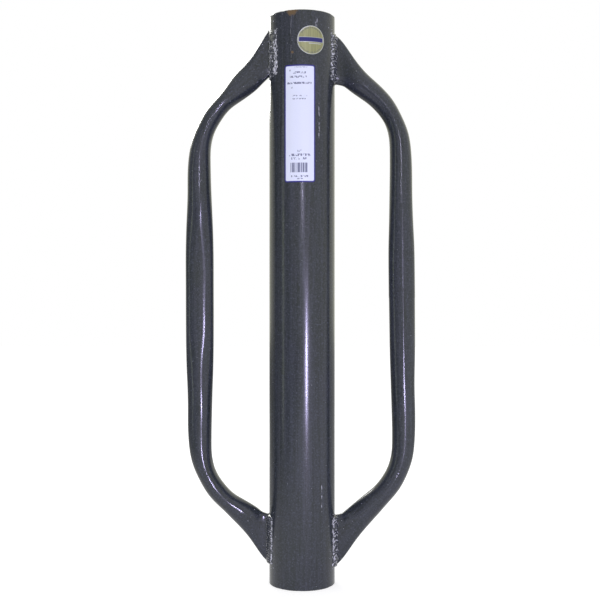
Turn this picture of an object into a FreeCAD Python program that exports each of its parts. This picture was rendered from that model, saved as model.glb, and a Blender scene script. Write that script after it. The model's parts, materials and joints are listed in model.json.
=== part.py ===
"""Manual fence-post driver: a heavy steel tube, closed at the top, with two bent tube handles.

Frame: origin at the centre of the open mouth, +Z up along the barrel, +X to the right handle,
-Y to the front, which carries the label. Millimetres and degrees.
"""
import FreeCAD, Part
import math
import os
import Sketcher
from types import SimpleNamespace
from typing import NamedTuple

VECTOR = FreeCAD.Vector
X_AXIS = VECTOR(1, 0, 0)
Y_AXIS = VECTOR(0, 1, 0)
Z_AXIS = VECTOR(0, 0, 1)

SIZES = {
    # Barrel: pipe, open at the mouth, counterbored at the top for the striking plug.
    "barrel_length": 630.0,
    "barrel_diameter": 73.0,
    "barrel_wall": 5.15,
    "rim_chamfer": 0.8,
    "mouth_chamfer": 0.4,
    # Striking plug, which stands on a step cut into the bore, and the weld ring that keeps it in.
    "plug_step": 0.4,
    "plug_clearance": 0.15,
    "plug_length": 38.0,
    "plug_recess": 4.0,
    "ring_weld_height": 3.2,
    "ring_weld_width": 4.5,
    # Handle tube before it is bent and pressed.
    "tube_diameter": 26.7,
    "tube_wall": 2.87,
    "bend_radius": 90.0,
    # Widths of the tube seen from the front, where bending and pressing changed it, as shares of
    # its diameter.
    "bend_share": 0.75,
    "bend_entry_share": 0.79,
    "bend_exit_share": 0.88,
    "flare_share": 1.05,
    "left_grip_share": 1.17,
    "right_grip_share": 1.09,
    # Flattened handle ends: a land of even depth at the barrel, which slopes and gets lower by
    # the taper for each millimetre out, then a neck that opens into the round tube.
    "end_depth": 9.0,
    "end_land": 5.0,
    "end_slope": 39.0,
    "end_taper": 1.0,
    "end_lift": 3.0,
    "neck_height_share": 1.24,
    "neck_depth_share": 0.64,
    # Distances of the leg's sections from the barrel's surface.
    "neck_place": 16.0,
    "flare_place": 27.0,
    # Left handle: each joint's middle from the barrel's nearer end, its length along the
    # barrel, the angle of its leg and how far out the grip stands.
    "left_top_inset": 39.5,
    "left_top_length": 51.0,
    "left_top_angle": 45.5,
    "left_top_reach": 115.4,
    "left_bottom_inset": 49.0,
    "left_bottom_length": 56.0,
    "left_bottom_angle": 40.3,
    "left_bottom_reach": 114.4,
    # Right handle, the same sizes.
    "right_top_inset": 45.5,
    "right_top_length": 55.0,
    "right_top_angle": 42.5,
    "right_top_reach": 111.0,
    "right_bottom_inset": 46.5,
    "right_bottom_length": 55.0,
    "right_bottom_angle": 42.8,
    "right_bottom_reach": 113.8,
    # Weld beads down both sides of every handle end: how far they run out along the handle and
    # round the barrel, the radius of their crown, and how deep they close round the end.
    "bead_on_handle": 2.3,
    "bead_on_barrel": 8.7,
    "bead_radius": 6.5,
    "bead_root": 1.2,
    "bead_overrun": 1.5,
    # Stickers.
    "sticker_thickness": 0.15,
    "label_drop": 60.0,
    "label_height": 127.0,
    "label_half_angle": 26.8,
    "label_turn": -4.2,
    "label_corner": 3.0,
    "badge_diameter": 31.0,
    "badge_drop": 33.0,
    "badge_turn": 16.0,
}

# Sizes that follow from the driving ones, as formulas for the sheet.
DERIVED = {
    "barrel_radius": "=barrel_diameter / 2",
    "bore_diameter": "=barrel_diameter - 2 * barrel_wall",
    "plug_diameter": "=bore_diameter + 2 * plug_step",
    "seat_diameter": "=plug_diameter + 2 * plug_clearance",
    "seat_radius": "=seat_diameter / 2",
    "seat_depth": "=plug_recess + plug_length",
    "sticker_radius": "=barrel_radius + sticker_thickness",
}

# Sections of a handle: points round each one, steps on either side of the barrel's surface,
# round each bend and along each swell, how square a section gets as it is pressed flat, and the
# share of each half of the grip over which the tube swells.
SECTION_POINTS = 24
LAND_STEPS = 2
BEND_STEPS = 4
SWELL_STEPS = 3
FLAT_SQUARENESS = 4.0
SWELL_SHARES = {"top": 0.6, "bottom": 0.9}

PARTS = (
    "barrel_tube", "striking_plug", "plug_ring_weld", "left_handle", "right_handle",
    "left_top_weld_front", "left_top_weld_back", "left_bottom_weld_front", "left_bottom_weld_back",
    "right_top_weld_front", "right_top_weld_back", "right_bottom_weld_front", "right_bottom_weld_back",
    "product_label", "round_badge",
)


# ---------------------------------------------------------------- document helpers

def write_sheet(doc):
    """Put every size in a cell of its own, with its name as the alias."""
    sheet = doc.addObject("Spreadsheet::Sheet", "Sizes")
    for row, (name, value) in enumerate((SIZES | DERIVED).items(), start=1):
        sheet.set(f"A{row}", name)
        sheet.set(f"B{row}", str(value))
        sheet.setAlias(f"B{row}", name)
    doc.recompute()


def read_sheet(doc):
    """All sizes as the sheet holds them now."""
    sheet = doc.getObject("Sizes")
    return SimpleNamespace(**{name: float(sheet.get(name)) for name in SIZES | DERIVED})


def size(name):
    """The expression that reads one size."""
    return f"Sizes.{name}"


def new_body(doc, label):
    body = doc.addObject("PartDesign::Body", label)
    body.Label = label
    return body


def origin_feature(body, role):
    """One of the body's own origin planes or axes."""
    return next(item for item in body.Origin.OriginFeatures if item.Role == role)


def new_sketch(body, name, plane="XY_Plane"):
    sketch = body.newObject("Sketcher::SketchObject", name)
    sketch.AttachmentSupport = [(origin_feature(body, plane), "")]
    sketch.MapMode = "FlatFace"
    return sketch


def drive(sketch, name, kind, arguments, formula):
    """Add a named dimension to a sketch and bind it to a formula of the driving sizes."""
    place = sketch.addConstraint(Sketcher.Constraint(kind, *arguments))
    sketch.renameConstraint(place, name)
    sketch.setExpression(f"Constraints.{name}", formula)


def add_circle(sketch, name, diameter, formula):
    """A driven circle about the sketch's origin."""
    circle = sketch.addGeometry(Part.Circle(VECTOR(0, 0, 0), Z_AXIS, diameter / 2), False)
    sketch.addConstraint(Sketcher.Constraint("Coincident", circle, 3, -1, 1))
    drive(sketch, name, "Diameter", (circle, diameter), formula)


def circular_edges(shape, diameter, height):
    """Names of the full circles of one diameter at one height."""
    names = []
    for number, edge in enumerate(shape.Edges, start=1):
        curve = edge.Curve
        if not isinstance(curve, Part.Circle) or not edge.Closed:
            continue
        if abs(2 * curve.Radius - diameter) < 1e-6 and abs(curve.Center.z - height) < 1e-6:
            names.append(f"Edge{number}")
    return names


# ---------------------------------------------------------------- barrel and plug

def build_barrel(doc, sizes):
    """Pipe with a counterbored seat for the plug at the top and eased edges at both rims."""
    body = new_body(doc, "barrel_tube")
    ring = new_sketch(body, "barrel_section")
    add_circle(ring, "outside", sizes.barrel_diameter, size("barrel_diameter"))
    add_circle(ring, "inside", sizes.bore_diameter, size("bore_diameter"))
    pipe = body.newObject("PartDesign::Pad", "barrel_pipe")
    pipe.Profile = ring
    pipe.setExpression("Length", size("barrel_length"))

    seat_circle = new_sketch(body, "seat_section")
    seat_circle.setExpression("AttachmentOffset.Base.z", size("barrel_length"))
    add_circle(seat_circle, "seat", sizes.seat_diameter, size("seat_diameter"))
    seat = body.newObject("PartDesign::Pocket", "plug_seat")
    seat.Profile = seat_circle
    seat.setExpression("Length", size("seat_depth"))
    doc.recompute()

    outer_rims = (circular_edges(seat.Shape, sizes.barrel_diameter, sizes.barrel_length)
                  + circular_edges(seat.Shape, sizes.barrel_diameter, 0)
                  + circular_edges(seat.Shape, sizes.seat_diameter, sizes.barrel_length))
    rims = body.newObject("PartDesign::Chamfer", "rim_chamfers")
    rims.Base = (seat, outer_rims)
    rims.setExpression("Size", size("rim_chamfer"))
    doc.recompute()

    mouth = body.newObject("PartDesign::Chamfer", "mouth_chamfer")
    mouth.Base = (rims, circular_edges(rims.Shape, sizes.bore_diameter, 0))
    mouth.setExpression("Size", size("mouth_chamfer"))
    return body


def build_plug(doc, sizes):
    """Solid round bar that closes the barrel and strikes the post."""
    body = new_body(doc, "striking_plug")
    disc = new_sketch(body, "plug_section")
    add_circle(disc, "outside", sizes.plug_diameter, size("plug_diameter"))
    slug = body.newObject("PartDesign::Pad", "plug_slug")
    slug.Profile = disc
    slug.setExpression("Length", size("plug_length"))
    body.setExpression("Placement.Base.z", "Sizes.barrel_length - Sizes.seat_depth")
    return body


def build_ring_weld(doc, sizes):
    """Weld ring in the recess over the plug: a right-angled triangle turned about Z."""
    body = new_body(doc, "plug_ring_weld")
    profile = new_sketch(body, "ring_weld_section", "XZ_Plane")
    foot = VECTOR(sizes.seat_radius - sizes.ring_weld_width, 0, 0)
    corner = VECTOR(sizes.seat_radius, 0, 0)
    crown = VECTOR(sizes.seat_radius, sizes.ring_weld_height, 0)
    for start, end in ((foot, corner), (corner, crown), (crown, foot)):
        profile.addGeometry(Part.LineSegment(start, end), False)
    for line in range(3):
        profile.addConstraint(Sketcher.Constraint("Coincident", line, 2, (line + 1) % 3, 1))
    profile.addConstraint(Sketcher.Constraint("PointOnObject", 0, 1, -1))
    profile.addConstraint(Sketcher.Constraint("Horizontal", 0))
    profile.addConstraint(Sketcher.Constraint("Vertical", 1))
    drive(profile, "wall", "DistanceX", (-1, 1, 1, 1, sizes.seat_radius), size("seat_radius"))
    drive(profile, "width", "DistanceX", (0, 1, 0, 2, sizes.ring_weld_width),
          size("ring_weld_width"))
    drive(profile, "height", "DistanceY", (1, 1, 1, 2, sizes.ring_weld_height),
          size("ring_weld_height"))
    ring = body.newObject("PartDesign::Revolution", "ring_weld")
    ring.Profile = profile
    ring.ReferenceAxis = (origin_feature(body, "Z_Axis"), [""])
    ring.Angle = 360
    body.setExpression("Placement.Base.z", "Sizes.barrel_length - Sizes.plug_recess")
    return body


# ---------------------------------------------------------------- handles

class Section(NamedTuple):
    """One section of a handle: its centre, its tilt and its size across and through.

    turn is the angle between the tube's run and the horizontal: 0 at the barrel, 90 on the grip.
    """
    x: float
    z: float
    turn: float
    across: float
    through: float


def pressed_depth(sizes, width):
    """The other width of a tube pressed to one width, with its girth unchanged.

    Two half circles and two flats have a girth of pi * short + 2 * (long - short).
    """
    half_girth = math.pi / 2 * sizes.tube_diameter
    if width <= sizes.tube_diameter:
        return half_girth - (math.pi / 2 - 1) * width
    return (half_girth - width) / (math.pi / 2 - 1)


def ease(share):
    """Smooth step from 0 to 1: 3 t^2 - 2 t^3."""
    return share * share * (3 - 2 * share)


def blend(start, end, share):
    return start + (end - start) * ease(share)


def joint_height(sizes, side, end):
    """Height of the middle of one joint, set out from the barrel's nearer end."""
    inset = getattr(sizes, f"{side}_{end}_inset")
    return sizes.barrel_length - inset if end == "top" else inset


def end_sections(sizes, side, end):
    """One flattened end, its leg and its bend, from inside the barrel's skin to the grip."""
    length, angle, reach = (getattr(sizes, f"{side}_{end}_{word}")
                            for word in ("length", "angle", "reach"))
    joint = joint_height(sizes, side, end)
    away = -1 if end == "top" else 1
    skin = sizes.barrel_radius
    tube = sizes.tube_diameter
    slope = math.tan(math.radians(angle))
    land_slope = math.tan(math.radians(sizes.end_slope))
    sections = []
    for step in range(-LAND_STEPS, LAND_STEPS + 1):
        place = sizes.end_land * step / LAND_STEPS
        sections.append(Section(skin + place, joint + away * land_slope * place, 0,
                                length - sizes.end_taper * place, sizes.end_depth))

    def leg_height(place):
        return joint + away * (sizes.end_lift + slope * place)

    sections.append(Section(skin + sizes.neck_place, leg_height(sizes.neck_place), angle / 2,
                            sizes.neck_height_share * tube, sizes.neck_depth_share * tube))
    bend_start = reach - sizes.bend_radius * (1 - math.sin(math.radians(angle))) - skin
    for share in (0, 1 / 2):
        place = sizes.flare_place + (bend_start - sizes.flare_place) * share
        width = blend(sizes.flare_share, sizes.bend_entry_share, share) * tube
        sections.append(Section(skin + place, leg_height(place), angle, width,
                                pressed_depth(sizes, width)))
    arc_x = reach - sizes.bend_radius
    arc_z = leg_height(bend_start) + away * sizes.bend_radius * math.cos(math.radians(angle))
    for step in range(BEND_STEPS + 1):
        share = step / BEND_STEPS
        turn = angle + (90 - angle) * share
        if share < 1 / 2:
            width = blend(sizes.bend_entry_share, sizes.bend_share, 2 * share) * tube
        else:
            width = blend(sizes.bend_share, sizes.bend_exit_share, 2 * share - 1) * tube
        sections.append(Section(arc_x + sizes.bend_radius * math.sin(math.radians(turn)),
                                arc_z - away * sizes.bend_radius * math.cos(math.radians(turn)),
                                turn, width, pressed_depth(sizes, width)))
    return sections


def swell_sections(sizes, end, bend_exit, middle):
    """Half of the grip, from a bend towards the middle: the tube swells to the grip's width."""
    sections = []
    for step in range(1, SWELL_STEPS + 1):
        share = step / SWELL_STEPS
        place = share * SWELL_SHARES[end]
        width = blend(bend_exit.across, middle.across, share)
        sections.append(Section(bend_exit.x + (middle.x - bend_exit.x) * place,
                                bend_exit.z + (middle.z - bend_exit.z) * place,
                                90, width, pressed_depth(sizes, width)))
    return sections


def section_curve(section, inset):
    """Closed superellipse |u/a|^n + |v/b|^n = 1 on a plane square to the tube's run.

    n is 2 for a round tube and grows as the tube is pressed flat; inset is taken off a and b.
    """
    half_across = section.across / 2 - inset
    half_through = section.through / 2 - inset
    flatness = 1 - min(half_across, half_through) / max(half_across, half_through)
    power = 2 / (2 + FLAT_SQUARENESS * flatness ** 2)
    centre = VECTOR(section.x, 0, section.z)
    tilt = math.radians(section.turn)
    across_way = VECTOR(math.sin(tilt), 0, math.cos(tilt))
    points = []
    for step in range(SECTION_POINTS):
        turn = 2 * math.pi * step / SECTION_POINTS
        u = math.copysign(abs(math.cos(turn)) ** power, math.cos(turn)) * half_across
        v = math.copysign(abs(math.sin(turn)) ** power, math.sin(turn)) * half_through
        points.append(centre + across_way * u + Y_AXIS * v)
    curve = Part.BSplineCurve()
    curve.interpolate(Points=points, Parameters=list(range(SECTION_POINTS + 1)), PeriodicFlag=True)
    return curve


def skin_sections(sections, inset):
    """Solid whose side runs smoothly through every section, closed by a flat cap at each end.

    All section curves have the same knots, so the poles of the side are found by running one
    spline along the tube through the matching pole of every section.
    """
    curves = [section_curve(section, inset) for section in sections]
    places = [0.0]
    for near, far in zip(sections, sections[1:]):
        places.append(places[-1] + math.dist((near.x, near.z), (far.x, far.z)))
    runs = []
    for poles in zip(*(curve.getPoles() for curve in curves)):
        run = Part.BSplineCurve()
        run.interpolate(Points=list(poles), Parameters=places)
        runs.append(run)
    side = Part.BSplineSurface()
    side.buildFromPolesMultsKnots([run.getPoles() for run in runs],
                                  curves[0].getMultiplicities(), runs[0].getMultiplicities(),
                                  curves[0].getKnots(), runs[0].getKnots(),
                                  True, False, curves[0].Degree, runs[0].Degree)
    side_face = side.toShape()
    rims = [edge for edge in side_face.Edges if edge.isClosed()]
    caps = [Part.Face(Part.Wire([edge])) for edge in rims]
    shell = Part.makeShell([side_face] + caps)
    shell.sewShape()
    solid = Part.makeSolid(shell)
    if solid.Volume < 0:
        solid.reverse()
    return solid


def build_handle(doc, sizes, side):
    """Bent tube, hollow, its section changing all along, its flattened ends cut to the barrel.

    It is worked out in the +X half plane; the left handle is then turned half a turn about Z.
    """
    top = end_sections(sizes, side, "top")
    bottom = end_sections(sizes, side, "bottom")
    swell = getattr(sizes, f"{side}_grip_share") * sizes.tube_diameter
    middle = Section((top[-1].x + bottom[-1].x) / 2, (top[-1].z + bottom[-1].z) / 2, 90,
                     swell, pressed_depth(sizes, swell))
    upper = top + swell_sections(sizes, "top", top[-1], middle)
    lower = bottom + swell_sections(sizes, "bottom", bottom[-1], middle)
    lower = [section._replace(turn=180 - section.turn) for section in lower]
    run = upper + [middle] + lower[::-1]
    outside = skin_sections(run, 0)
    inside = skin_sections(run, sizes.tube_wall)
    saddle = Part.makeCylinder(sizes.barrel_radius, 2 * sizes.barrel_length,
                               VECTOR(0, 0, -sizes.barrel_length / 2))
    handle = doc.addObject("Part::Feature", f"{side}_handle")
    handle.Label = f"{side}_handle"
    handle.Shape = outside.cut(inside).cut(saddle).Solids[0]
    if side == "left":
        handle.Placement = FreeCAD.Placement(VECTOR(0, 0, 0), FreeCAD.Rotation(Z_AXIS, 180))
    return handle


# ---------------------------------------------------------------- weld beads

def bead_section(sketch, sizes):
    """Closed outline: the barrel's skin, a root inside the handle's end, and the bead's crown."""
    flat = -sizes.end_depth / 2
    root = flat + sizes.bead_root
    skin = Part.Circle(VECTOR(0, 0, 0), Z_AXIS, sizes.barrel_radius)
    skin_turns = [math.asin(y / sizes.barrel_radius) for y in (flat - sizes.bead_on_barrel, root)]
    barrel_toe, corner = (skin.value(turn) for turn in skin_turns)
    handle_toe = VECTOR(sizes.barrel_radius + sizes.bead_on_handle, flat, 0)
    handle_root = VECTOR(handle_toe.x, root, 0)
    chord = handle_toe - barrel_toe
    outward = VECTOR(-chord.y, chord.x, 0).normalize() * -1
    rise = sizes.bead_radius - math.sqrt(sizes.bead_radius ** 2 - (chord.Length / 2) ** 2)
    crown = (handle_toe + barrel_toe) * 0.5 + outward * rise
    sketch.addGeometry(Part.ArcOfCircle(skin, *skin_turns), False)
    sketch.addGeometry(Part.LineSegment(corner, handle_root), False)
    sketch.addGeometry(Part.LineSegment(handle_root, handle_toe), False)
    sketch.addGeometry(Part.Arc(barrel_toe, crown, handle_toe), False)
    sketch.addConstraint(Sketcher.Constraint("Coincident", 0, 3, -1, 1))
    sketch.addConstraint(Sketcher.Constraint("Coincident", 0, 2, 1, 1))
    sketch.addConstraint(Sketcher.Constraint("Coincident", 1, 2, 2, 1))
    sketch.addConstraint(Sketcher.Constraint("Coincident", 2, 2, 3, 2))
    sketch.addConstraint(Sketcher.Constraint("Coincident", 3, 1, 0, 1))
    sketch.addConstraint(Sketcher.Constraint("Horizontal", 1))
    sketch.addConstraint(Sketcher.Constraint("Vertical", 2))
    drive(sketch, "skin", "Radius", (0, sizes.barrel_radius), size("barrel_radius"))
    drive(sketch, "root", "DistanceY", (1, 1, -1, 1, -root), "Sizes.end_depth / 2 - Sizes.bead_root")
    drive(sketch, "flat", "DistanceY", (2, 2, -1, 1, -flat), "Sizes.end_depth / 2")
    drive(sketch, "on_handle", "DistanceX", (-1, 1, 2, 2, handle_toe.x),
          "Sizes.barrel_radius + Sizes.bead_on_handle")
    drive(sketch, "on_barrel", "DistanceY", (0, 1, -1, 1, -barrel_toe.y),
          "Sizes.end_depth / 2 + Sizes.bead_on_barrel")
    drive(sketch, "crown", "Radius", (3, sizes.bead_radius), size("bead_radius"))


BEAD_TURNS = {
    ("right", "front"): FreeCAD.Rotation(),
    ("right", "back"): FreeCAD.Rotation(X_AXIS, 180),
    ("left", "front"): FreeCAD.Rotation(Y_AXIS, 180),
    ("left", "back"): FreeCAD.Rotation(Z_AXIS, 180),
}


def build_bead(doc, sizes, handle, side, end, face):
    """One bead down one side of a handle end, cut to the handle it is laid against."""
    name = f"{side}_{end}_weld_{face}"
    body = new_body(doc, f"{name}_body")
    section = new_sketch(body, f"{name}_section")
    bead_section(section, sizes)
    rod = body.newObject("PartDesign::Pad", f"{name}_rod")
    rod.Profile = section
    rod.Midplane = True
    rod.setExpression("Length", f"Sizes.{side}_{end}_length + 2 * Sizes.bead_overrun")
    body.Placement = FreeCAD.Placement(VECTOR(0, 0, 0), BEAD_TURNS[side, face])
    inset = f"Sizes.{side}_{end}_inset"
    body.setExpression("Placement.Base.z", f"Sizes.barrel_length - {inset}" if end == "top" else inset)
    bead = doc.addObject("Part::Cut", name)
    bead.Label = name
    bead.Base = body
    bead.Tool = handle
    return bead


# ---------------------------------------------------------------- stickers

def label_sheet(doc, body, sizes):
    """A curved sheet on the barrel's skin, spread evenly about the front."""
    inner = sizes.barrel_radius
    outer = sizes.sticker_radius
    half = math.radians(sizes.label_half_angle)
    start = -math.pi / 2 - half
    end = -math.pi / 2 + half
    sketch = new_sketch(body, "label_section")
    for radius in (inner, outer):
        circle = Part.Circle(VECTOR(0, 0, 0), Z_AXIS, radius)
        sketch.addGeometry(Part.ArcOfCircle(circle, start, end), False)
    for turn in (start, end):
        direction = VECTOR(math.cos(turn), math.sin(turn), 0)
        sketch.addGeometry(Part.LineSegment(direction * inner, direction * outer), False)
    for arc in (0, 1):
        sketch.addConstraint(Sketcher.Constraint("Coincident", arc, 3, -1, 1))
    for line, place in ((2, 1), (3, 2)):
        sketch.addConstraint(Sketcher.Constraint("Coincident", line, 1, 0, place))
        sketch.addConstraint(Sketcher.Constraint("Coincident", line, 2, 1, place))
        sketch.addConstraint(Sketcher.Constraint("PointOnObject", -1, 1, line))
    sketch.addConstraint(Sketcher.Constraint("Symmetric", 0, 1, 0, 2, -2))
    drive(sketch, "inner", "Radius", (0, inner), size("barrel_radius"))
    drive(sketch, "outer", "Radius", (1, outer), size("sticker_radius"))
    drive(sketch, "spread", "DistanceX", (0, 1, 0, 2, 2 * inner * math.sin(half)),
          "Sizes.barrel_diameter * sin(Sizes.label_half_angle * 1 deg)")
    sheet = body.newObject("PartDesign::Pad", "label_sheet")
    sheet.Profile = sketch
    sheet.setExpression("Length", size("label_height"))
    doc.recompute()
    return sheet


def build_label(doc, sizes):
    """Upright rectangular sticker with rounded corners."""
    body = new_body(doc, "product_label")
    sheet = label_sheet(doc, body, sizes)
    corners = [f"Edge{number}" for number, edge in enumerate(sheet.Shape.Edges, start=1)
               if abs(edge.Length - sizes.sticker_thickness) < 1e-6]
    rounds = body.newObject("PartDesign::Fillet", "label_corners")
    rounds.Base = (sheet, corners)
    rounds.setExpression("Radius", size("label_corner"))
    body.setExpression("Placement.Base.z",
                       "Sizes.barrel_length - Sizes.label_drop - Sizes.label_height")
    body.Placement.Rotation = FreeCAD.Rotation(Z_AXIS, sizes.label_turn)
    body.setExpression("Placement.Rotation.Angle", size("label_turn"))
    return body


def build_badge(doc, sizes):
    """Round sticker: the part of a thin shell on the barrel that lies inside a round punch."""
    skin = doc.addObject("Part::Cylinder", "badge_skin")
    skin.setExpression("Radius", size("sticker_radius"))
    core = doc.addObject("Part::Cylinder", "badge_core")
    core.setExpression("Radius", size("barrel_radius"))
    for cylinder in (skin, core):
        cylinder.setExpression("Height", "2 * Sizes.badge_diameter")
        cylinder.setExpression("Placement.Base.z", "0 - Sizes.badge_diameter")
    shell = doc.addObject("Part::Cut", "badge_shell")
    shell.Base = skin
    shell.Tool = core
    punch = doc.addObject("Part::Cylinder", "badge_punch")
    punch.setExpression("Radius", "Sizes.badge_diameter / 2")
    punch.setExpression("Height", size("barrel_diameter"))
    punch.Placement = FreeCAD.Placement(VECTOR(0, 0, 0), FreeCAD.Rotation(X_AXIS, 90))
    badge = doc.addObject("Part::Common", "round_badge")
    badge.Label = "round_badge"
    badge.Base = shell
    badge.Tool = punch
    badge.Placement.Rotation = FreeCAD.Rotation(Z_AXIS, sizes.badge_turn)
    badge.setExpression("Placement.Base.z", "Sizes.barrel_length - Sizes.badge_drop")
    badge.setExpression("Placement.Rotation.Angle", size("badge_turn"))
    return badge


# ---------------------------------------------------------------- build and write

def build_all(doc):
    sizes = read_sheet(doc)
    parts = [build_barrel(doc, sizes), build_plug(doc, sizes), build_ring_weld(doc, sizes)]
    for side in ("left", "right"):
        handle = build_handle(doc, sizes, side)
        parts.append(handle)
        for end in ("top", "bottom"):
            for face in ("front", "back"):
                parts.append(build_bead(doc, sizes, handle, side, end, face))
    parts.append(build_label(doc, sizes))
    parts.append(build_badge(doc, sizes))
    doc.recompute()
    return parts


def check_all(doc, parts):
    """Stop before anything is written if a feature failed or a sub-part isn't one good solid."""
    failed = [item.Name for item in doc.Objects
              if "Invalid" in item.State or "Error" in item.State]
    if failed:
        raise RuntimeError(f"features failed: {failed}")
    for part in parts:
        if part.Shape.isNull() or not part.Shape.isValid() or len(part.Shape.Solids) != 1:
            raise RuntimeError(f"{part.Label} is not one valid solid")
    if sorted(part.Label for part in parts) != sorted(PARTS):
        raise RuntimeError("the sub-parts are not the listed ones")


def main():
    doc = FreeCAD.newDocument("post_driver")
    write_sheet(doc)
    parts = build_all(doc)
    check_all(doc, parts)
    os.makedirs("parts", exist_ok=True)
    for part in parts:
        part.Shape.exportStep(f"parts/{part.Label}.step")
        print(f"{part.Label}: {part.Shape.Volume:.0f} mm3")


main()
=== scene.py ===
"""Looks of a two-handled fence-post driver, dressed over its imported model.

Metres throughout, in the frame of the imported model: the barrel stands on its open mouth at the
origin, +Z runs up to the closed top, +X goes to the right handle and -Y to the front.
"""

import json
import logging
import math
from dataclasses import dataclass, field, replace
from enum import Enum
from functools import reduce

import bpy
import numpy as np
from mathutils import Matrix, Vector

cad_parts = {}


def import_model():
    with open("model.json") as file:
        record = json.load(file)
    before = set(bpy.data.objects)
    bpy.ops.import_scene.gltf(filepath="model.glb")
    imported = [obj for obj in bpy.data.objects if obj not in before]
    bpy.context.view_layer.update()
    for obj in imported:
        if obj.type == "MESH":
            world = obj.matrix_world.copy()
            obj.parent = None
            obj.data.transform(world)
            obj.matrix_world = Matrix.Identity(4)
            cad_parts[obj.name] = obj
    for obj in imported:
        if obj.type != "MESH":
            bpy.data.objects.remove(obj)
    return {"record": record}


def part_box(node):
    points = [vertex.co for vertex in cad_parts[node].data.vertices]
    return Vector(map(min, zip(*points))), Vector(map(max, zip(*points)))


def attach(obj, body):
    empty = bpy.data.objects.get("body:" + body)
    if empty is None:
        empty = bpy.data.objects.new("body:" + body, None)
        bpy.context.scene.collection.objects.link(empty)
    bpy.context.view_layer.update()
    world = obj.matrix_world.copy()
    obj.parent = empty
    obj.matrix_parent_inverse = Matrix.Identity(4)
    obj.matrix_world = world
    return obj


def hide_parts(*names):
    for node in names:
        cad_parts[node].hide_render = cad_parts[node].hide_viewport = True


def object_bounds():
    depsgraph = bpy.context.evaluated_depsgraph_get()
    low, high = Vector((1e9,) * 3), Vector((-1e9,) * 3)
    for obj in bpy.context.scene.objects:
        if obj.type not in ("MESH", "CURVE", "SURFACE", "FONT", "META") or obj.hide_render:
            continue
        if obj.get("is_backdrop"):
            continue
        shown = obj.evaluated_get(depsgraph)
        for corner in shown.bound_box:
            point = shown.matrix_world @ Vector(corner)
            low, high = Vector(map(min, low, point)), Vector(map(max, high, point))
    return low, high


LOG = logging.getLogger("post_driver")
MM = 0.001

Array = np.ndarray
Paint = bpy.types.Material
Piece = bpy.types.Object
Triple = tuple[float, float, float]


# ---------------- numbers and curves


def ease(share: Array | float) -> Array | float:
    """Smooth step from 0 to 1: 3 t^2 - 2 t^3, with t held between 0 and 1."""
    held = np.clip(share, 0.0, 1.0)
    return held * held * (3 - 2 * held)


def blend(start: float, end: float, share: float) -> float:
    """Value that eases from start to end as share goes from 0 to 1."""
    return start + (end - start) * float(ease(share))


def direction(degrees: float) -> tuple[float, float]:
    """Cosine and sine of an angle."""
    return math.cos(math.radians(degrees)), math.sin(math.radians(degrees))


def smooth_through(places: Array, values: Array, wanted: Array) -> Array:
    """Natural cubic spline through every value.

    Between two places the curve is a cubic whose second derivative M runs straight from one
    end to the other, and M is solved so that neighbouring cubics share their slope.

    Args:
        places: (n,) rising places of the given values.
        values: (n, k) values to pass through.
        wanted: (m,) places to read the curve at.

    Returns:
        (m, k) values on the curve.
    """
    gaps = np.diff(places)
    slopes = np.diff(values, axis=0) / gaps[:, None]
    system = np.eye(len(places))
    inner = np.arange(1, len(places) - 1)
    system[inner, inner - 1] = gaps[:-1]
    system[inner, inner] = 2 * (gaps[:-1] + gaps[1:])
    system[inner, inner + 1] = gaps[1:]
    right = np.zeros_like(values)
    right[1:-1] = 6 * np.diff(slopes, axis=0)
    bends = np.linalg.solve(system, right)
    span = np.clip(np.searchsorted(places, wanted) - 1, 0, len(gaps) - 1)
    gap = gaps[span][:, None]
    before = (places[span + 1] - wanted)[:, None]
    after = (wanted - places[span])[:, None]
    curved = (bends[span] * before**3 + bends[span + 1] * after**3) / (6 * gap)
    near = (values[span] / gap - bends[span] * gap / 6) * before
    far = (values[span + 1] / gap - bends[span + 1] * gap / 6) * after
    return curved + near + far


def wander(places: Array, waves: list[float], seed: int) -> Array:
    """Slow irregular change between -1 and 1: the mean of one sine of each wave length.

    Args:
        places: Places along the piece, any shape.
        waves: Wave lengths, in the unit of the places.
        seed: Fixes the phase of every sine.

    Returns:
        One value for each place.
    """
    phases = np.random.default_rng(seed).uniform(0, 2 * np.pi, len(waves))
    sines = [np.sin(2 * np.pi * places / wave + phase) for wave, phase in zip(waves, phases)]
    return np.mean(sines, axis=0)


def scalloped(phase: Array) -> Array:
    """Round ripples with a sharp valley at every whole number: |sin(pi phase)|^0.7."""
    return np.abs(np.sin(np.pi * phase)) ** 0.7


# ---------------- meshes


def stacked(*parts: Array) -> Array:
    """Arrays joined as a new last axis, such as x, y and z, spread to one shape first."""
    return np.stack(np.broadcast_arrays(*parts), axis=-1)


def grid_faces(rows: int, columns: int) -> Array:
    """Quads between neighbouring points of a grid that is numbered row by row."""
    numbers = np.arange(rows * columns).reshape(rows, columns)
    return stacked(numbers[:-1, :-1], numbers[:-1, 1:], numbers[1:, 1:], numbers[1:, :-1]).reshape(-1, 4)


def volume_inside(points: Array, faces: Array) -> float:
    """Signed volume of a closed shell: a sixth of the sum of a . (b x c) over its triangles.

    Args:
        points: (n, 3) points.
        faces: (f, 4) point numbers, -1 as a triangle's fourth.

    Returns:
        Cubic metres, negative where the faces point inwards.
    """
    corners = points[np.where(faces < 0, faces[:, :1], faces)]
    crossed = np.cross(corners[:, 1:3], corners[:, 2:4]).sum(axis=1)
    return float(np.einsum("ij,ij->", corners[:, 0], crossed)) / 6


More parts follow.
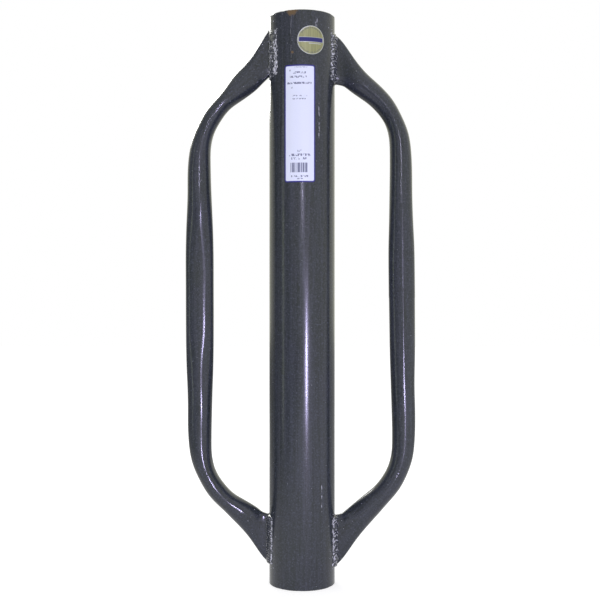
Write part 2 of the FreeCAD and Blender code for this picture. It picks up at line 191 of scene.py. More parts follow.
class Shell:
    """Closed shells of one piece, gathered as arrays and written as one mesh object.

    A face has four point numbers; a triangle's fourth is -1. Each corner has a place on the
    piece's surface map: metres round the piece, then metres along it.
    """

    def __init__(self, name: str) -> None:
        """Start with no points.

        Args:
            name: The piece's name.
        """
        self.name = name
        self.points: list[Array] = []
        self.faces: list[Array] = []
        self.maps: list[Array] = []
        self.scales: list[Array] = []
        self.count = 0

    def add(self, points: Array, faces: Array, corner_maps: Array,
            scale: Array | None = None) -> None:
        """Add one closed shell, turned so that its faces point outwards.

        Args:
            points: (n, 3) points.
            faces: (f, 4) point numbers, -1 as a triangle's fourth.
            corner_maps: (f, 4, 2) surface map at each corner.
            scale: How much pale weld scale and painted highlight shows at the points, for as many as are
                given.
        """
        if volume_inside(points, faces) < 0:
            order = np.where(faces[:, 3:] < 0, [[0, 2, 1, 3]], [[0, 3, 2, 1]])
            faces = np.take_along_axis(faces, order, axis=1)
            corner_maps = np.take_along_axis(corner_maps, order[:, :, None], axis=1)
        self.points.append(points)
        self.faces.append(np.where(faces < 0, -1, faces + self.count))
        self.maps.append(corner_maps)
        shown = np.zeros(len(points))
        if scale is not None:
            shown[:scale.size] = scale.ravel()
        self.scales.append(shown)
        self.count += len(points)

    def add_tube(self, grid: Array, surface: Array, scale: Array | None = None) -> None:
        """Add rings one after another, closed round and closed by a fan at both ends.

        Args:
            grid: (rings, round, 3) points.
            surface: (rings, round + 1, 2) surface map, whose last column closes the ring.
            scale: (rings, round) share of pale weld scale and painted highlight.
        """
        rings, around = grid.shape[:2]
        quads = grid_faces(rings, around + 1)
        wrapped = np.arange(around + 1) % around + np.arange(rings)[:, None] * around
        faces, maps = [wrapped.ravel()[quads]], [surface.reshape(-1, 2)[quads]]
        for pole, ring in enumerate((0, rings - 1)):
            near, far = wrapped[ring, :-1], wrapped[ring, 1:]
            if pole:
                near, far = far, near
            faces.append(stacked(rings * around + pole, far, near, -1))
            maps.append(np.repeat(surface[ring, :-1, None], 4, axis=1))
        points = np.concatenate([grid.reshape(-1, 3), grid[[0, -1]].mean(axis=1)])
        self.add(points, np.concatenate(faces), np.concatenate(maps), scale)

    def add_ring(self, grid: Array, surface: Array) -> None:
        """Add a grid that closes on itself both ways, such as a pipe with its bore.

        Args:
            grid: (rows, round, 3) points.
            surface: (rows, round + 1, 2) surface map, whose last column closes the ring.
        """
        rows, around = grid.shape[:2]
        quads = grid_faces(rows + 1, around + 1)
        wrapped = np.arange(around + 1) % around + (np.arange(rows + 1) % rows)[:, None] * around
        maps = np.concatenate([surface, surface[:1]]).reshape(-1, 2)[quads]
        self.add(grid.reshape(-1, 3), wrapped.ravel()[quads], maps)

    def add_sheet(self, front: Array, back: Array, surface: Array) -> None:
        """Close two matching grids, a front and a back, along their common border.

        Args:
            front: (rows, columns, 3) points.
            back: (rows, columns, 3) points.
            surface: (rows, columns, 2) surface map of both.
        """
        rows, columns = front.shape[:2]
        quads = grid_faces(rows, columns)
        numbers = np.arange(rows * columns).reshape(rows, columns)
        border = np.concatenate([numbers[0, :-1], numbers[:-1, -1], numbers[-1, :0:-1], numbers[:0:-1, 0]])
        onward = np.roll(border, -1)
        offset = rows * columns
        sides = stacked(onward, border, border + offset, onward + offset)
        faces = np.concatenate([quads, quads[:, ::-1] + offset, sides])
        points = np.concatenate([front, back]).reshape(-1, 3)
        self.add(points, faces, np.concatenate([surface, surface]).reshape(-1, 2)[faces])

    def add_balls(self, centres: Array, radii: Array) -> None:
        """Add small round grains: rings at four heights of a ball, with a pole at each end. Their pale share
        of 0.8 is a painted highlight.

        Args:
            centres: (n, 3) centres.
            radii: (n,) radii.
        """
        tilts = np.radians([25.0, 65.0, 115.0, 155.0])[:, None]
        turns = np.linspace(0, 2 * np.pi, 9)[:-1]
        ball = stacked(np.sin(tilts) * np.cos(turns), np.sin(tilts) * np.sin(turns), np.cos(tilts))
        for centre, radius in zip(centres, radii):
            # Pale share 0.8 on each grain: painted highlight.
            self.add_tube(centre + ball * radius, np.zeros((4, 9, 2)), np.full((4, 8), 0.8))

    def build(self, paint: Paint, slot: str, node: str, sharp: float = 35.0) -> Piece:
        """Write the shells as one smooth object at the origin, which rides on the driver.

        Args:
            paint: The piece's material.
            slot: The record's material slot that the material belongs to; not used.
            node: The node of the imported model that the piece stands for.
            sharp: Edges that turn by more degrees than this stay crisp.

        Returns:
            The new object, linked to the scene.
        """
        faces = np.concatenate(self.faces)
        corners = faces >= 0
        lengths = corners.sum(axis=1)
        mesh = bpy.data.meshes.new(self.name)
        mesh.vertices.add(self.count)
        mesh.vertices.foreach_set("co", np.concatenate(self.points).astype(np.float32).ravel())
        mesh.loops.add(int(lengths.sum()))
        mesh.loops.foreach_set("vertex_index", faces[corners].astype(np.int32))
        mesh.polygons.add(len(faces))
        mesh.polygons.foreach_set("loop_start", (np.cumsum(lengths) - lengths).astype(np.int32))
        mesh.update(calc_edges=True)
        surface = mesh.uv_layers.new(name="surface")
        surface.data.foreach_set("uv", np.concatenate(self.maps)[corners].astype(np.float32).ravel())
        scale = mesh.attributes.new("scale", "FLOAT", "POINT")
        scale.data.foreach_set("value", np.concatenate(self.scales).astype(np.float32))
        mesh.shade_smooth()
        mesh.set_sharp_from_angle(angle=math.radians(sharp))
        mesh.validate()
        mesh.materials.append(paint)
        piece = bpy.data.objects.new(self.name, mesh)
        bpy.context.scene.collection.objects.link(piece)
        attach(piece, "root")
        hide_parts(node)
        return piece


def turned(radii: Array, heights: Array, around: int) -> tuple[Array, Array]:
    """Profile turned about the Z axis: (r cos t, r sin t, z), one ring for each profile point.

    Args:
        radii: (n,) radii of the profile, or (n, around) radii that change round the ring.
        heights: (n,) or (n, around) heights of the profile.
        around: Points round each ring.

    Returns:
        The grid of points, and its surface map: metres round the barrel's skin, and height.
    """
    turns = 2 * np.pi * (np.arange(around) + 0.5) / around + np.pi / 2
    radii = radii.reshape(len(radii), -1)
    grid = stacked(radii * np.cos(turns), radii * np.sin(turns), heights.reshape(len(radii), -1))
    rounds = np.linspace(0, 2 * np.pi, around + 1) * float(radii.max())
    closed = np.concatenate([grid[..., 2], grid[:, :1, 2]], axis=1)
    return grid, stacked(rounds, closed)


def profile(corners: list[tuple[float, float]], steps: list[int]) -> Array:
    """Points (n, 2) along straight runs between corners, each run split into its number of steps."""
    places = np.concatenate([[0], np.cumsum(steps)])
    return stacked(*(np.interp(np.arange(places[-1] + 1), places, line) for line in zip(*corners)))


# ---------------- finishes


@dataclass(frozen=True)
class Signal:
    """An output of a node, which takes part in plain arithmetic."""

    recipe: "Recipe"
    socket: bpy.types.NodeSocket

    def __add__(self, other: "Value") -> "Signal":
        """Sum."""
        return self.recipe.math("ADD", self, other)

    def __sub__(self, other: "Value") -> "Signal":
        """Difference."""
        return self.recipe.math("SUBTRACT", self, other)

    def __rsub__(self, other: float) -> "Signal":
        """A number less this."""
        return self.recipe.math("SUBTRACT", other, self)

    def __mul__(self, other: "Value") -> "Signal":
        """Product."""
        return self.recipe.math("MULTIPLY", self, other)

    def __truediv__(self, other: "Value") -> "Signal":
        """Quotient."""
        return self.recipe.math("DIVIDE", self, other)

    def __abs__(self) -> "Signal":
        """Size without sign."""
        return self.recipe.math("ABSOLUTE", self)

    def other(self, name: str) -> "Signal":
        """Another output of the same node."""
        return Signal(self.recipe, self.socket.node.outputs[name])


Value = Signal | float | Triple


class Recipe:
    """The node tree of a material or of the world, built up by short calls that hand back signals."""

    def __init__(self, owner: Paint | bpy.types.World) -> None:
        """Empty the owner's tree but for its output node.

        Args:
            owner: The material or world whose tree it is.
        """
        owner.use_nodes = True
        self.owner = owner
        self.tree = owner.node_tree
        self.tree.nodes.clear()
        kind = "World" if isinstance(owner, bpy.types.World) else "Material"
        self.output = self.tree.nodes.new(f"ShaderNodeOutput{kind}")

    def feed(self, socket: bpy.types.NodeSocket, value: Value) -> None:
        """Link a socket to a signal or set its own value; three numbers make an opaque colour.

        Args:
            socket: The socket to feed.
            value: A signal, one number or three.
        """
        if isinstance(value, Signal):
            self.tree.links.new(value.socket, socket)
        else:
            socket.default_value = (*value, 1.0) if socket.type == "RGBA" else value

    def node(self, kind: str, fed: dict[str | int, Value], output: str | int = 0, **settings: str) -> Signal:
        """Add a node.

        Args:
            kind: Its type, without the word ShaderNode.
            fed: What its sockets take, by their names or numbers.
            output: The output that is wanted.
            settings: The node's own settings.

        Returns:
            That output.
        """
        node = self.tree.nodes.new(f"ShaderNode{kind}")
        for name, setting in settings.items():
            setattr(node, name, setting)
        for name, value in fed.items():
            self.feed(node.inputs[name], value)
        return Signal(self, node.outputs[output])

    def math(self, operation: str, *values: Value) -> Signal:
        """Arithmetic on numbers."""
        return self.node("Math", dict(enumerate(values)), operation=operation)

    def vector(self, operation: str, *values: Value) -> Signal:
        """Vector arithmetic; LENGTH hands back a number."""
        output = "Value" if operation == "LENGTH" else "Vector"
        return self.node("VectorMath", dict(enumerate(values)), output, operation=operation)

    def largest(self, signals: list[Signal]) -> Signal:
        """The largest of the signals at each place."""
        return reduce(lambda first, second: self.math("MAXIMUM", first, second), signals)

    def parts(self, vector: Signal) -> list[Signal]:
        """The X, Y and Z of a vector."""
        split = self.node("SeparateXYZ", {0: vector})
        return [split.other(axis) for axis in "XYZ"]

    def join(self, x: Value, y: Value, z: Value = 0.0) -> Signal:
        """A vector of three numbers."""
        return self.node("CombineXYZ", {"X": x, "Y": y, "Z": z})

    def places(self, stretch: Triple = (1, 1, 1), shift: Triple = (0, 0, 0), kind: str = "Object") -> Signal:
        """Places in space (or on the "UV" map) in metres, less a shift and then stretched."""
        found = self.node("TexCoord", {}, kind)
        return self.vector("MULTIPLY", self.vector("SUBTRACT", found, shift), stretch)

    def noise(self, scale: float, detail: float = 3.0, roughness: float = 0.55,
              places: Signal | None = None) -> Signal:
        """Cloudy noise between 0 and 1, on the piece itself unless other places are given."""
        fed = {"Vector": places or self.places(), "Scale": scale, "Detail": detail, "Roughness": roughness}
        return self.node("TexNoise", fed, "Fac")

    def ramp(self, value: Value, low: float, high: float, start: float = 0.0, end: Value = 1.0,
             shape: str = "SMOOTHSTEP") -> Signal:
        """Step that goes from start at low to end at high, and stays there beyond them."""
        fed = {"Value": value, "From Min": low, "From Max": high, "To Min": start, "To Max": end}
        return self.node("MapRange", fed, interpolation_type=shape)

    def band(self, value: Signal, middle: float, half: float, soft: float = 0.3 * MM) -> Signal:
        """1 within half of the middle, fading to 0 over the soft edge."""
        return self.ramp(abs(value - middle), half - soft / 2, half + soft / 2, 1.0, 0.0)

    def mix(self, share: Value, first: Value, second: Value) -> Signal:
        """Colour that goes from the first to the second as share goes from 0 to 1.

        Args:
            share: Share of the second colour.
            first: The first colour.
            second: The second colour.

        Returns:
            The colour.
        """
        node = self.tree.nodes.new("ShaderNodeMix")
        node.data_type = "RGBA"
        colours = [socket for socket in node.inputs if socket.type == "RGBA"]
        for socket, value in zip([node.inputs[0], *colours], (share, first, second)):
            self.feed(socket, value)
        return Signal(self, next(socket for socket in node.outputs if socket.type == "RGBA"))

    def bump(self, height: Signal, depth: float, under: Signal | None = None) -> Signal:
        """Normals of a relief so many metres deep from height 0 to 1, laid on the normals under it."""
        fed = {"Distance": depth, "Height": height} | ({} if under is None else {"Normal": under})
        return self.node("Bump", fed)

    def surface(self, colour: Signal, roughness: Value, normal: Signal, ior: float,
                metallic: Value = 0.0) -> Paint:
        """Finish a material with one physical shader, and hand the material back.

        Args:
            colour: Base colour.
            roughness: Roughness.
            normal: Normals of the relief.
            ior: Index of refraction.
            metallic: Share of bare metal.

        Returns:
            The finished material.
        """
        fed = {"Base Color": colour, "Roughness": roughness, "Normal": normal, "IOR": ior}
        self.finish(self.node("BsdfPrincipled", fed | {"Metallic": metallic}))
        return self.owner

    def finish(self, shader: Signal) -> None:
        """Send a shader to the tree's output."""
        self.feed(self.output.inputs["Surface"], shader)


def shade(colour: Triple, factor: float) -> Triple:
    """The same colour, lighter or darker by a factor."""
    return tuple(factor * part for part in colour)


class Grain(Enum):
    """Which way the marks of rolling and handling run under a paint."""

    UPRIGHT = "along the barrel"
    SURFACE = "along the piece's own surface map"
    NONE = "no marks"


@dataclass(frozen=True)
class Scratch:
    """A bare upright scratch on the barrel's front, with its place across and half its width."""

    across: float
    foot: float
    top: float
    half: float
    strength: float


@dataclass(frozen=True)
class Enamel:
    """Gloss charcoal enamel sprayed over mill-marked steel."""

    name: str
    colour: Triple = (0.024, 0.030, 0.032)
    tint: Triple = (0.029, 0.033, 0.044)
    roughness: float = 0.19
    grain: Grain = Grain.SURFACE
    peel: float = 0.010 * MM
    dirt: Triple = (0.34, 0.36, 0.4)
    bare: Triple = (0.52, 0.53, 0.6)
    rusts: tuple[Triple, Triple] = ((0.06, 0.038, 0.02), (0.2, 0.13, 0.055))
    rust_places: tuple[tuple[float, float, float, float], ...] = ()
    scratches: tuple[Scratch, ...] = ()

    def scratched(self, recipe: Recipe) -> Signal:
        """Share of bare pale scratch, wavy and broken along its length.

        Args:
            recipe: The tree to add to.

        Returns:
            Share of bare steel.
        """
        x, y, z = recipe.parts(recipe.places())
        wavy = recipe.noise(60.0, 1.0, places=recipe.places((0, 0, 1)))
        moved = x + (wavy - 0.5) * (2.5 * MM)
        marks = []
        for one in self.scratches:
            line = recipe.band(moved, one.across, one.half, 0.5 * MM)
            run = recipe.band(z, (one.foot + one.top) / 2, (one.top - one.foot) / 2, 3 * MM)
            torn = recipe.noise(420.0, 2.0, places=recipe.places((1, 1, 0.6), (one.across, 0, 0)))
            front = recipe.ramp(y, -20 * MM, -10 * MM, one.strength, 0.0)
            marks.append(line * run * recipe.ramp(torn, 0.42, 0.6) * front)
        return recipe.largest(marks)

    def marks(self, recipe: Recipe) -> Signal:
        """Long faint streaks between 0 and 1 that follow the grain.

        Args:
            recipe: The tree to add to.

        Returns:
            Height of the streaks.
        """
        if self.grain is Grain.NONE:
            return recipe.noise(500.0, 4.0, 0.65)
        upright = recipe.places((1, 1, 0.03))
        along = upright if self.grain is Grain.UPRIGHT else recipe.places((1, 0.04, 1), kind="UV")
        return recipe.noise(330.0, 4.0, 0.7, along)

    def rust(self, recipe: Recipe) -> Signal:
        """Share of rust about each of its places, ragged at the edge.

        Args:
            recipe: The tree to add to.

        Returns:
            Share of rust.
        """
        spots = []
        for *place, reach in self.rust_places:
            away = recipe.vector("LENGTH", recipe.places(shift=place))
            spots.append(recipe.ramp(away / reach + recipe.noise(420.0, 5.0, 0.7), 1.1, 1.5, 1.0, 0.0))
        return recipe.largest(spots)

    def material(self) -> Paint:
        """Build the paint: two tones, streaks, flecks, pits, dirt, scratches, rust and a fine peel."""
        recipe = Recipe(bpy.data.materials.new(self.name))
        marks = self.marks(recipe)
        colour = recipe.mix(recipe.ramp(recipe.noise(26.0, 4.0, 0.6), 0.35, 0.7), self.colour, self.tint)
        if self.grain is Grain.UPRIGHT:
            bands = recipe.noise(75.0, 2.0, places=recipe.places((1, 1, 0.03)))
            colour = recipe.mix(recipe.ramp(bands, 0.35, 0.65, 0.0, 0.3), colour, shade(self.colour, 0.5))
        colour = recipe.mix(recipe.ramp(marks, 0.32, 0.72, 0.0, 0.62), colour, shade(self.tint, 1.7))
        flecks = recipe.ramp(recipe.noise(560.0, 3.0, 0.65), 0.48, 0.7, 0.0, 0.8)
        colour = recipe.mix(flecks, colour, shade(self.tint, 2.2))
        pits = recipe.ramp(recipe.noise(520.0, 3.0, 0.7), 0.32, 0.48, 0.6, 0.0)
        colour = recipe.mix(pits, colour, shade(self.colour, 0.45))
        away = recipe.node("TexVoronoi", {"Vector": recipe.places(), "Scale": 190.0}, "Distance")
        chance = recipe.parts(away.other("Color"))[0]
        speck = recipe.ramp(away, 0.05, 0.12, 1.0, 0.0) * recipe.ramp(chance, 0.86, 0.9)
        colour = recipe.mix(speck * 0.5, colour, self.dirt)
        rough = recipe.ramp(marks, 0.3, 0.8, -0.03, 0.07) + self.roughness + speck * 0.3
        if self.scratches:
            colour = recipe.mix(self.scratched(recipe), colour, self.bare)
        if self.rust_places:
            rust = self.rust(recipe)
            colour = recipe.mix(rust, colour, recipe.mix(recipe.noise(900.0, 4.0), *self.rusts))
            rough = rough + rust * 0.45
        normal = recipe.bump(recipe.noise(420.0, 2.0, 0.5), self.peel)
        normal = recipe.bump(marks, 0.6 * self.peel, normal)
        normal = recipe.bump(speck, 0.05 * MM, normal)
        return recipe.surface(colour, rough, normal, ior=1.45)


@dataclass(frozen=True)
class WeldSkin:
    """Enamel over hand-laid weld, broken by pale scale and painted highlights where the piece's scale share
    is high.
    """

    name: str
    colour: Triple = (0.036, 0.04, 0.05)
    # Pale colour of weld scale, and of the painted highlights on bead toes, ripple crests and spatter grains.
    scale: Triple = (0.66, 0.67, 0.74)

    def material(self) -> Paint:
        """Build the skin: two tones of paint, chips of pale scale and painted highlight, fine pits."""
        recipe = Recipe(bpy.data.materials.new(self.name))
        tone = recipe.mix(recipe.noise(300.0, 3.0), self.colour, shade(self.colour, 1.8))
        shown = recipe.node("Attribute", {}, "Fac", attribute_name="scale")
        grains = recipe.noise(680.0, 3.0, 0.65, recipe.places((1, 1, 0.4)))
        # Pale share: painted highlight on toes, crests and spatter, and pale scale on rough lumps.
        scale_and_highlight = recipe.ramp(shown + recipe.ramp(grains, 0.3, 0.7), 0.98, 1.22)
        normal = recipe.bump(recipe.noise(1100.0, 3.0), 0.08 * MM)
        normal = recipe.bump(scale_and_highlight, 0.04 * MM, normal)
        return recipe.surface(recipe.mix(scale_and_highlight * 0.9, tone, self.scale), scale_and_highlight * 0.25 + 0.16, normal, ior=1.5)


@dataclass(frozen=True)
class PrintRow:
    """One row of greeked print, in millimetres from the middle of its sticker."""

    height: float
    middle: float
    tall: float
    long: float
    pitch: float = 1.6


def greeked_rows() -> tuple[PrintRow, ...]:
    """The sticker's rows: a title of three rows, two small ones, and those about the stripes."""
    title = (
        PrintRow(height=61.0, middle=1.4, tall=0.9, long=13.5, pitch=1.2),
        PrintRow(height=57.3, middle=-10.8, tall=2.0, long=1.8),
        PrintRow(height=55.1, middle=-0.5, tall=2.2, long=14.5, pitch=2.1),
        PrintRow(height=50.5, middle=-1.6, tall=2.1, long=18.5, pitch=2.2),
        PrintRow(height=43.8, middle=-0.3, tall=2.1, long=27.5, pitch=1.7),
        PrintRow(height=38.9, middle=-8.6, tall=1.8, long=1.2),
    )
    small = (
        PrintRow(height=30.0, middle=0.0, tall=1.3, long=15.6, pitch=1.3),
        PrintRow(height=26.7, middle=-0.4, tall=1.3, long=14.8, pitch=1.2),
    )
    foot = (
        PrintRow(height=-29.5, middle=-0.5, tall=2.2, long=6.4),
        PrintRow(height=-34.0, middle=0.5, tall=2.6, long=23.8, pitch=1.7),
        PrintRow(height=-37.9, middle=-0.9, tall=2.4, long=16.6, pitch=1.5),
        PrintRow(height=-57.1, middle=-0.2, tall=2.0, long=19.8, pitch=1.5),
        PrintRow(height=-59.8, middle=-0.9, tall=1.2, long=8.4, pitch=1.2),
    )
    return title + small + foot


@dataclass(frozen=True)
class PrintedPaper:
    """Pale coated sticker with a dark blue border, and grey dashes where print would be.

    The surface map is in metres about the middle of the sticker: across, then up.
    """

    name: str
    half_width: float
    half_height: float
    corner: float
    border: float = 1.3 * MM
    paper: Triple = (0.75, 0.80, 0.91)
    ink: Triple = (0.016, 0.012, 0.22)
    grey: Triple = (0.11, 0.125, 0.21)

    def edge_distance(self, recipe: Recipe, x: Signal, y: Signal) -> Signal:
        """Distance inwards from the rounded outline: corner - |max(|p| - (half - corner), 0)|.

        Args:
            recipe: The tree to add to.
            x: Place across the sticker.
            y: Place up the sticker.

        Returns:
            Metres inwards from the edge, negative beyond it.
        """
        over_x = abs(x) - (self.half_width - self.corner)
        over_y = abs(y) - (self.half_height - self.corner)
        outside = recipe.join(recipe.math("MAXIMUM", over_x, 0.0), recipe.math("MAXIMUM", over_y, 0.0))
        inside = recipe.math("MINIMUM", recipe.largest([over_x, over_y]), 0.0)
        return self.corner - (recipe.vector("LENGTH", outside) + inside)

    def dashes(self, recipe: Recipe, x: Signal, y: Signal, row: PrintRow, seed: float) -> Signal:
        """One row of uneven upright dashes, like print too small to read.

        Args:
            recipe: The tree to add to.
            x: Place across the sticker.
            y: Place up the sticker.
            row: Where the row is and how large its dashes are.
            seed: Picks which dashes show.

        Returns:
            Share of ink.
        """
        high = recipe.band(y, row.height * MM, row.tall * MM / 2, 0.25 * MM)
        wide = recipe.band(x, row.middle * MM, row.long * MM / 2)
        fine = recipe.join(x / (row.pitch * MM), y / (1.5 * row.tall * MM), seed)
        return high * wide * recipe.ramp(recipe.noise(1.0, 1.0, places=fine), 0.46, 0.54)

    def stripes(self, recipe: Recipe, x: Signal, y: Signal) -> Signal:
        """A block of plain upright stripes of uneven width near the foot of the sticker.

        Args:
            recipe: The tree to add to.
            x: Place across the sticker.
            y: Place up the sticker.

        Returns:
            Share of ink.
        """
        block = recipe.band(y, -47.7 * MM, 5.2 * MM) * recipe.band(x, -0.9 * MM, 9.3 * MM)
        uneven = recipe.noise(1.0, 1.0, places=recipe.join(x / (1.6 * MM), 0.0, 5.0))
        return block * recipe.ramp(uneven, 0.44, 0.49)

    def material(self) -> Paint:
        """Build the sticker: paper, border, greeked rows and a block of stripes."""
        recipe = Recipe(bpy.data.materials.new(self.name))
        x, y, _ = recipe.parts(recipe.places(kind="UV"))
        rows = [self.dashes(recipe, x, y, row, 2.3 * number) for number, row in enumerate(greeked_rows())]
        ink = recipe.largest([self.stripes(recipe, x, y), *rows])
        fibre = recipe.noise(900.0, 3.0, places=recipe.places(kind="UV"))
        paper = recipe.mix(recipe.ramp(fibre, 0.3, 0.8, 0.0, 0.3), self.paper, shade(self.paper, 0.9))
        printed = recipe.mix(ink * 0.9, paper, self.grey)
        inward = self.edge_distance(recipe, x, y)
        edge = recipe.ramp(inward, self.border - 0.2 * MM, self.border + 0.2 * MM, 1.0, 0.0)
        wrinkle = recipe.noise(90.0, 2.0, places=recipe.places((1, 0.5, 1), kind="UV"))
        normal = recipe.bump(wrinkle, 0.05 * MM)
        rough = recipe.ramp(fibre, 0.3, 0.8, 0.34, 0.46)
        return recipe.surface(recipe.mix(edge, printed, self.ink), rough, normal, ior=1.45)


@dataclass(frozen=True)
class EmbossedFoil:
    """Round gold foil with a silver rim and a plain blue bar across its middle.

    The surface map is in metres about the middle of the badge: across, then up.
    """

    name: str
    radius: float
    gold: Triple = (0.34, 0.345, 0.2)
    silver: Triple = (0.5, 0.52, 0.56)
    ink: Triple = (0.012, 0.012, 0.14)

    def material(self) -> Paint:
        """Build the foil: brushed gold, silver rim with small ticks, bar with a silver edge."""
        recipe = Recipe(bpy.data.materials.new(self.name))
        places = recipe.places(kind="UV")
        x, y, _ = recipe.parts(places)
        out = recipe.vector("LENGTH", places)
        brushed = recipe.noise(800.0, 3.0, places=recipe.places((1, 0.04, 1), kind="UV"))
        gold = recipe.mix(recipe.ramp(brushed, 0.3, 0.7), self.gold, shade(self.gold, 0.72))
        rim = recipe.ramp(out, self.radius - 0.8 * MM, self.radius - 0.5 * MM)
        ring = recipe.band(out, self.radius - 2.2 * MM, 0.45 * MM, 0.2 * MM)
        uneven = recipe.noise(1.0, 1.0, places=recipe.join(recipe.math("ARCTAN2", y, x) * 14.0, 0.0, 1.0))
        upright = recipe.ramp(abs(y), 0.45 * self.radius, 0.5 * self.radius)
        ticks = ring * recipe.ramp(uneven, 0.47, 0.53) * upright
        bar = recipe.band(y, 0.6 * MM, 2.3 * MM) * recipe.band(x, 0.0, 0.88 * self.radius)
        halo = recipe.band(y, 0.6 * MM, 2.7 * MM) * recipe.band(x, 0.0, 0.93 * self.radius)
        line = recipe.band(y, -3.6 * MM, 0.35 * MM, 0.2 * MM) * recipe.band(x, 4.0 * MM, 7.0 * MM)
        colour = recipe.mix(rim, gold, self.silver)
        colour = recipe.mix(recipe.largest([halo, line]), colour, self.silver)
        inked = recipe.largest([bar, ticks * 0.75])
        colour = recipe.mix(inked, colour, self.ink)
        normal = recipe.bump(recipe.largest([rim, halo]), 0.05 * MM, recipe.bump(brushed, 0.008 * MM))
        return recipe.surface(colour, 0.38, normal, ior=1.5, metallic=0.75 - inked * 0.7)


@dataclass(frozen=True)
class Finishes:
    """Every paint of the driver, made once and shared by its pieces."""

    barrel: Paint
    handle: Paint
    weld: Paint
    plug: Paint

    @classmethod
    def mixed(cls, length: float, radius: float) -> "Finishes":
        """Mix the paints.

        Args:
            length: Length of the barrel.
            radius: Outside radius of the barrel.

        Returns:
            The paints of the barrel, handles, welds and plug.
        """
        rusty = []
        for turn, height, reach in ((-108.0, length, 7.5 * MM), (-107.0, length - 46 * MM, 1.8 * MM)):
            across, back = direction(turn)
            rusty.append((radius * across, radius * back, height, reach))
        scratches = (
            Scratch(across=18.5 * MM, foot=0.78 * length, top=0.84 * length, half=0.5 * MM, strength=0.5),
            # The second is a short pale upright dash low on the right of the front, drawn the same way as the
            # scratches.
            Scratch(across=21.3 * MM, foot=0.135 * length, top=0.18 * length, half=0.4 * MM, strength=0.8),
            Scratch(across=-12 * MM, foot=0.9 * length, top=0.99 * length, half=0.35 * MM, strength=0.2),
            Scratch(across=15.5 * MM, foot=0.972 * length, top=0.985 * length, half=1.4 * MM, strength=0.4),
        )
        in_recess = (12 * MM, 8 * MM, length, 7 * MM)
        return cls(
            barrel=Enamel("barrel_enamel", grain=Grain.UPRIGHT, rust_places=tuple(rusty),
                          scratches=scratches).material(),
            handle=Enamel("handle_enamel", roughness=0.155).material(),
            weld=WeldSkin("weld_enamel").material(),
            plug=Enamel("plug_enamel", (0.026, 0.03, 0.034), (0.036, 0.04, 0.046), grain=Grain.NONE,
                        rust_places=(in_recess,)).material(),
        )


# ---------------- barrel, plug and stickers


PLUG_CLEARANCE = 0.15 * MM


@dataclass(frozen=True)
class Barrel:
    """The heavy pipe: outer skin, sawn rims, counterbored seat and bore."""

    length: float
    radius: float
    bore: float
    seat: float
    seat_floor: float
    chamfer: float = 0.8 * MM
    around: int = 240

    @classmethod
    def from_frame(cls, record: dict) -> "Barrel":
        """Read the pipe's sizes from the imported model.

        Args:
            record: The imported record, whose mount post_bore gives the bore.

        Returns:
            The barrel.
        """
        _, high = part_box("barrel_tube")
        plug_low, plug_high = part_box("striking_plug")
        mounts = {mount["name"]: mount for mount in record["mounts"]}
        bore = mounts["post_bore"]["dims"]["r_mm"] * MM
        return cls(high.z, min(high.x, high.y), bore, plug_high.x + PLUG_CLEARANCE, plug_low.z)

    def outline(self) -> Array:
        """Closed profile (radius, height): up the skin, over the top rim, down the bore and back."""
        cut = self.chamfer
        corners = [
            (self.radius, cut), (self.radius, self.length - cut),
            (self.radius - cut, self.length), (self.seat + cut, self.length),
            (self.seat, self.length - cut), (self.seat, self.seat_floor),
            (self.bore, self.seat_floor), (self.bore, cut / 2), (self.bore + cut / 2, 0.0),
            (self.radius - cut, 0.0), (self.radius, cut),
        ]
        return profile(corners, [150, 2, 5, 2, 6, 2, 40, 2, 5, 2])[:-1]

    def rim_wear(self, radii: Array, heights: Array) -> tuple[Array, Array]:
        """Dents of handling in both rims, and the faint out-of-roundness of rolled pipe.

        Where a slow wander w round a rim is above 0, the skin shrinks by 0.5 w^2 mm and the rim
        moves in by nearly as much. The whole skin shrinks by up to 0.06 mm, out of round.

        Args:
            radii: (n, 1) radii of the profile.
            heights: (n, 1) heights of the profile.

        Returns:
            (n, around) radii and heights.
        """
        turns = np.arange(self.around) / self.around * 2 * np.pi
        waves = [2 * np.pi / count for count in (3, 7, 11, 17)]
        top_dents, foot_dents = (np.maximum(wander(turns, waves, seed), 0) ** 2 for seed in (3, 4))
        top_dents = ease(1 - (self.length - heights) / (2.5 * MM)) * top_dents
        foot_dents = ease(1 - heights / (2.0 * MM)) * foot_dents
        outer = radii > (self.seat + self.radius) / 2
        oval = 0.5 + 0.5 * np.sin(2 * turns + 0.7) * np.cos(heights * 9.0)
        radii = radii - outer * (0.5 * MM * (top_dents + foot_dents) + 0.06 * MM * oval)
        return radii, heights - 0.45 * MM * top_dents + 0.35 * MM * foot_dents

    def build(self, paint: Paint) -> Piece:
        """Turn the worn profile about the axis.

        Args:
            paint: What it is painted with.

        Returns:
            The finished piece.
        """
        outline = self.outline()
        radii, heights = self.rim_wear(outline[:, :1], outline[:, 1:])
        grid, surface = turned(radii, heights, self.around)
        shell = Shell("barrel_pipe")
        shell.add_ring(grid, surface)
        return shell.build(paint, "barrel_paint", "barrel_tube")


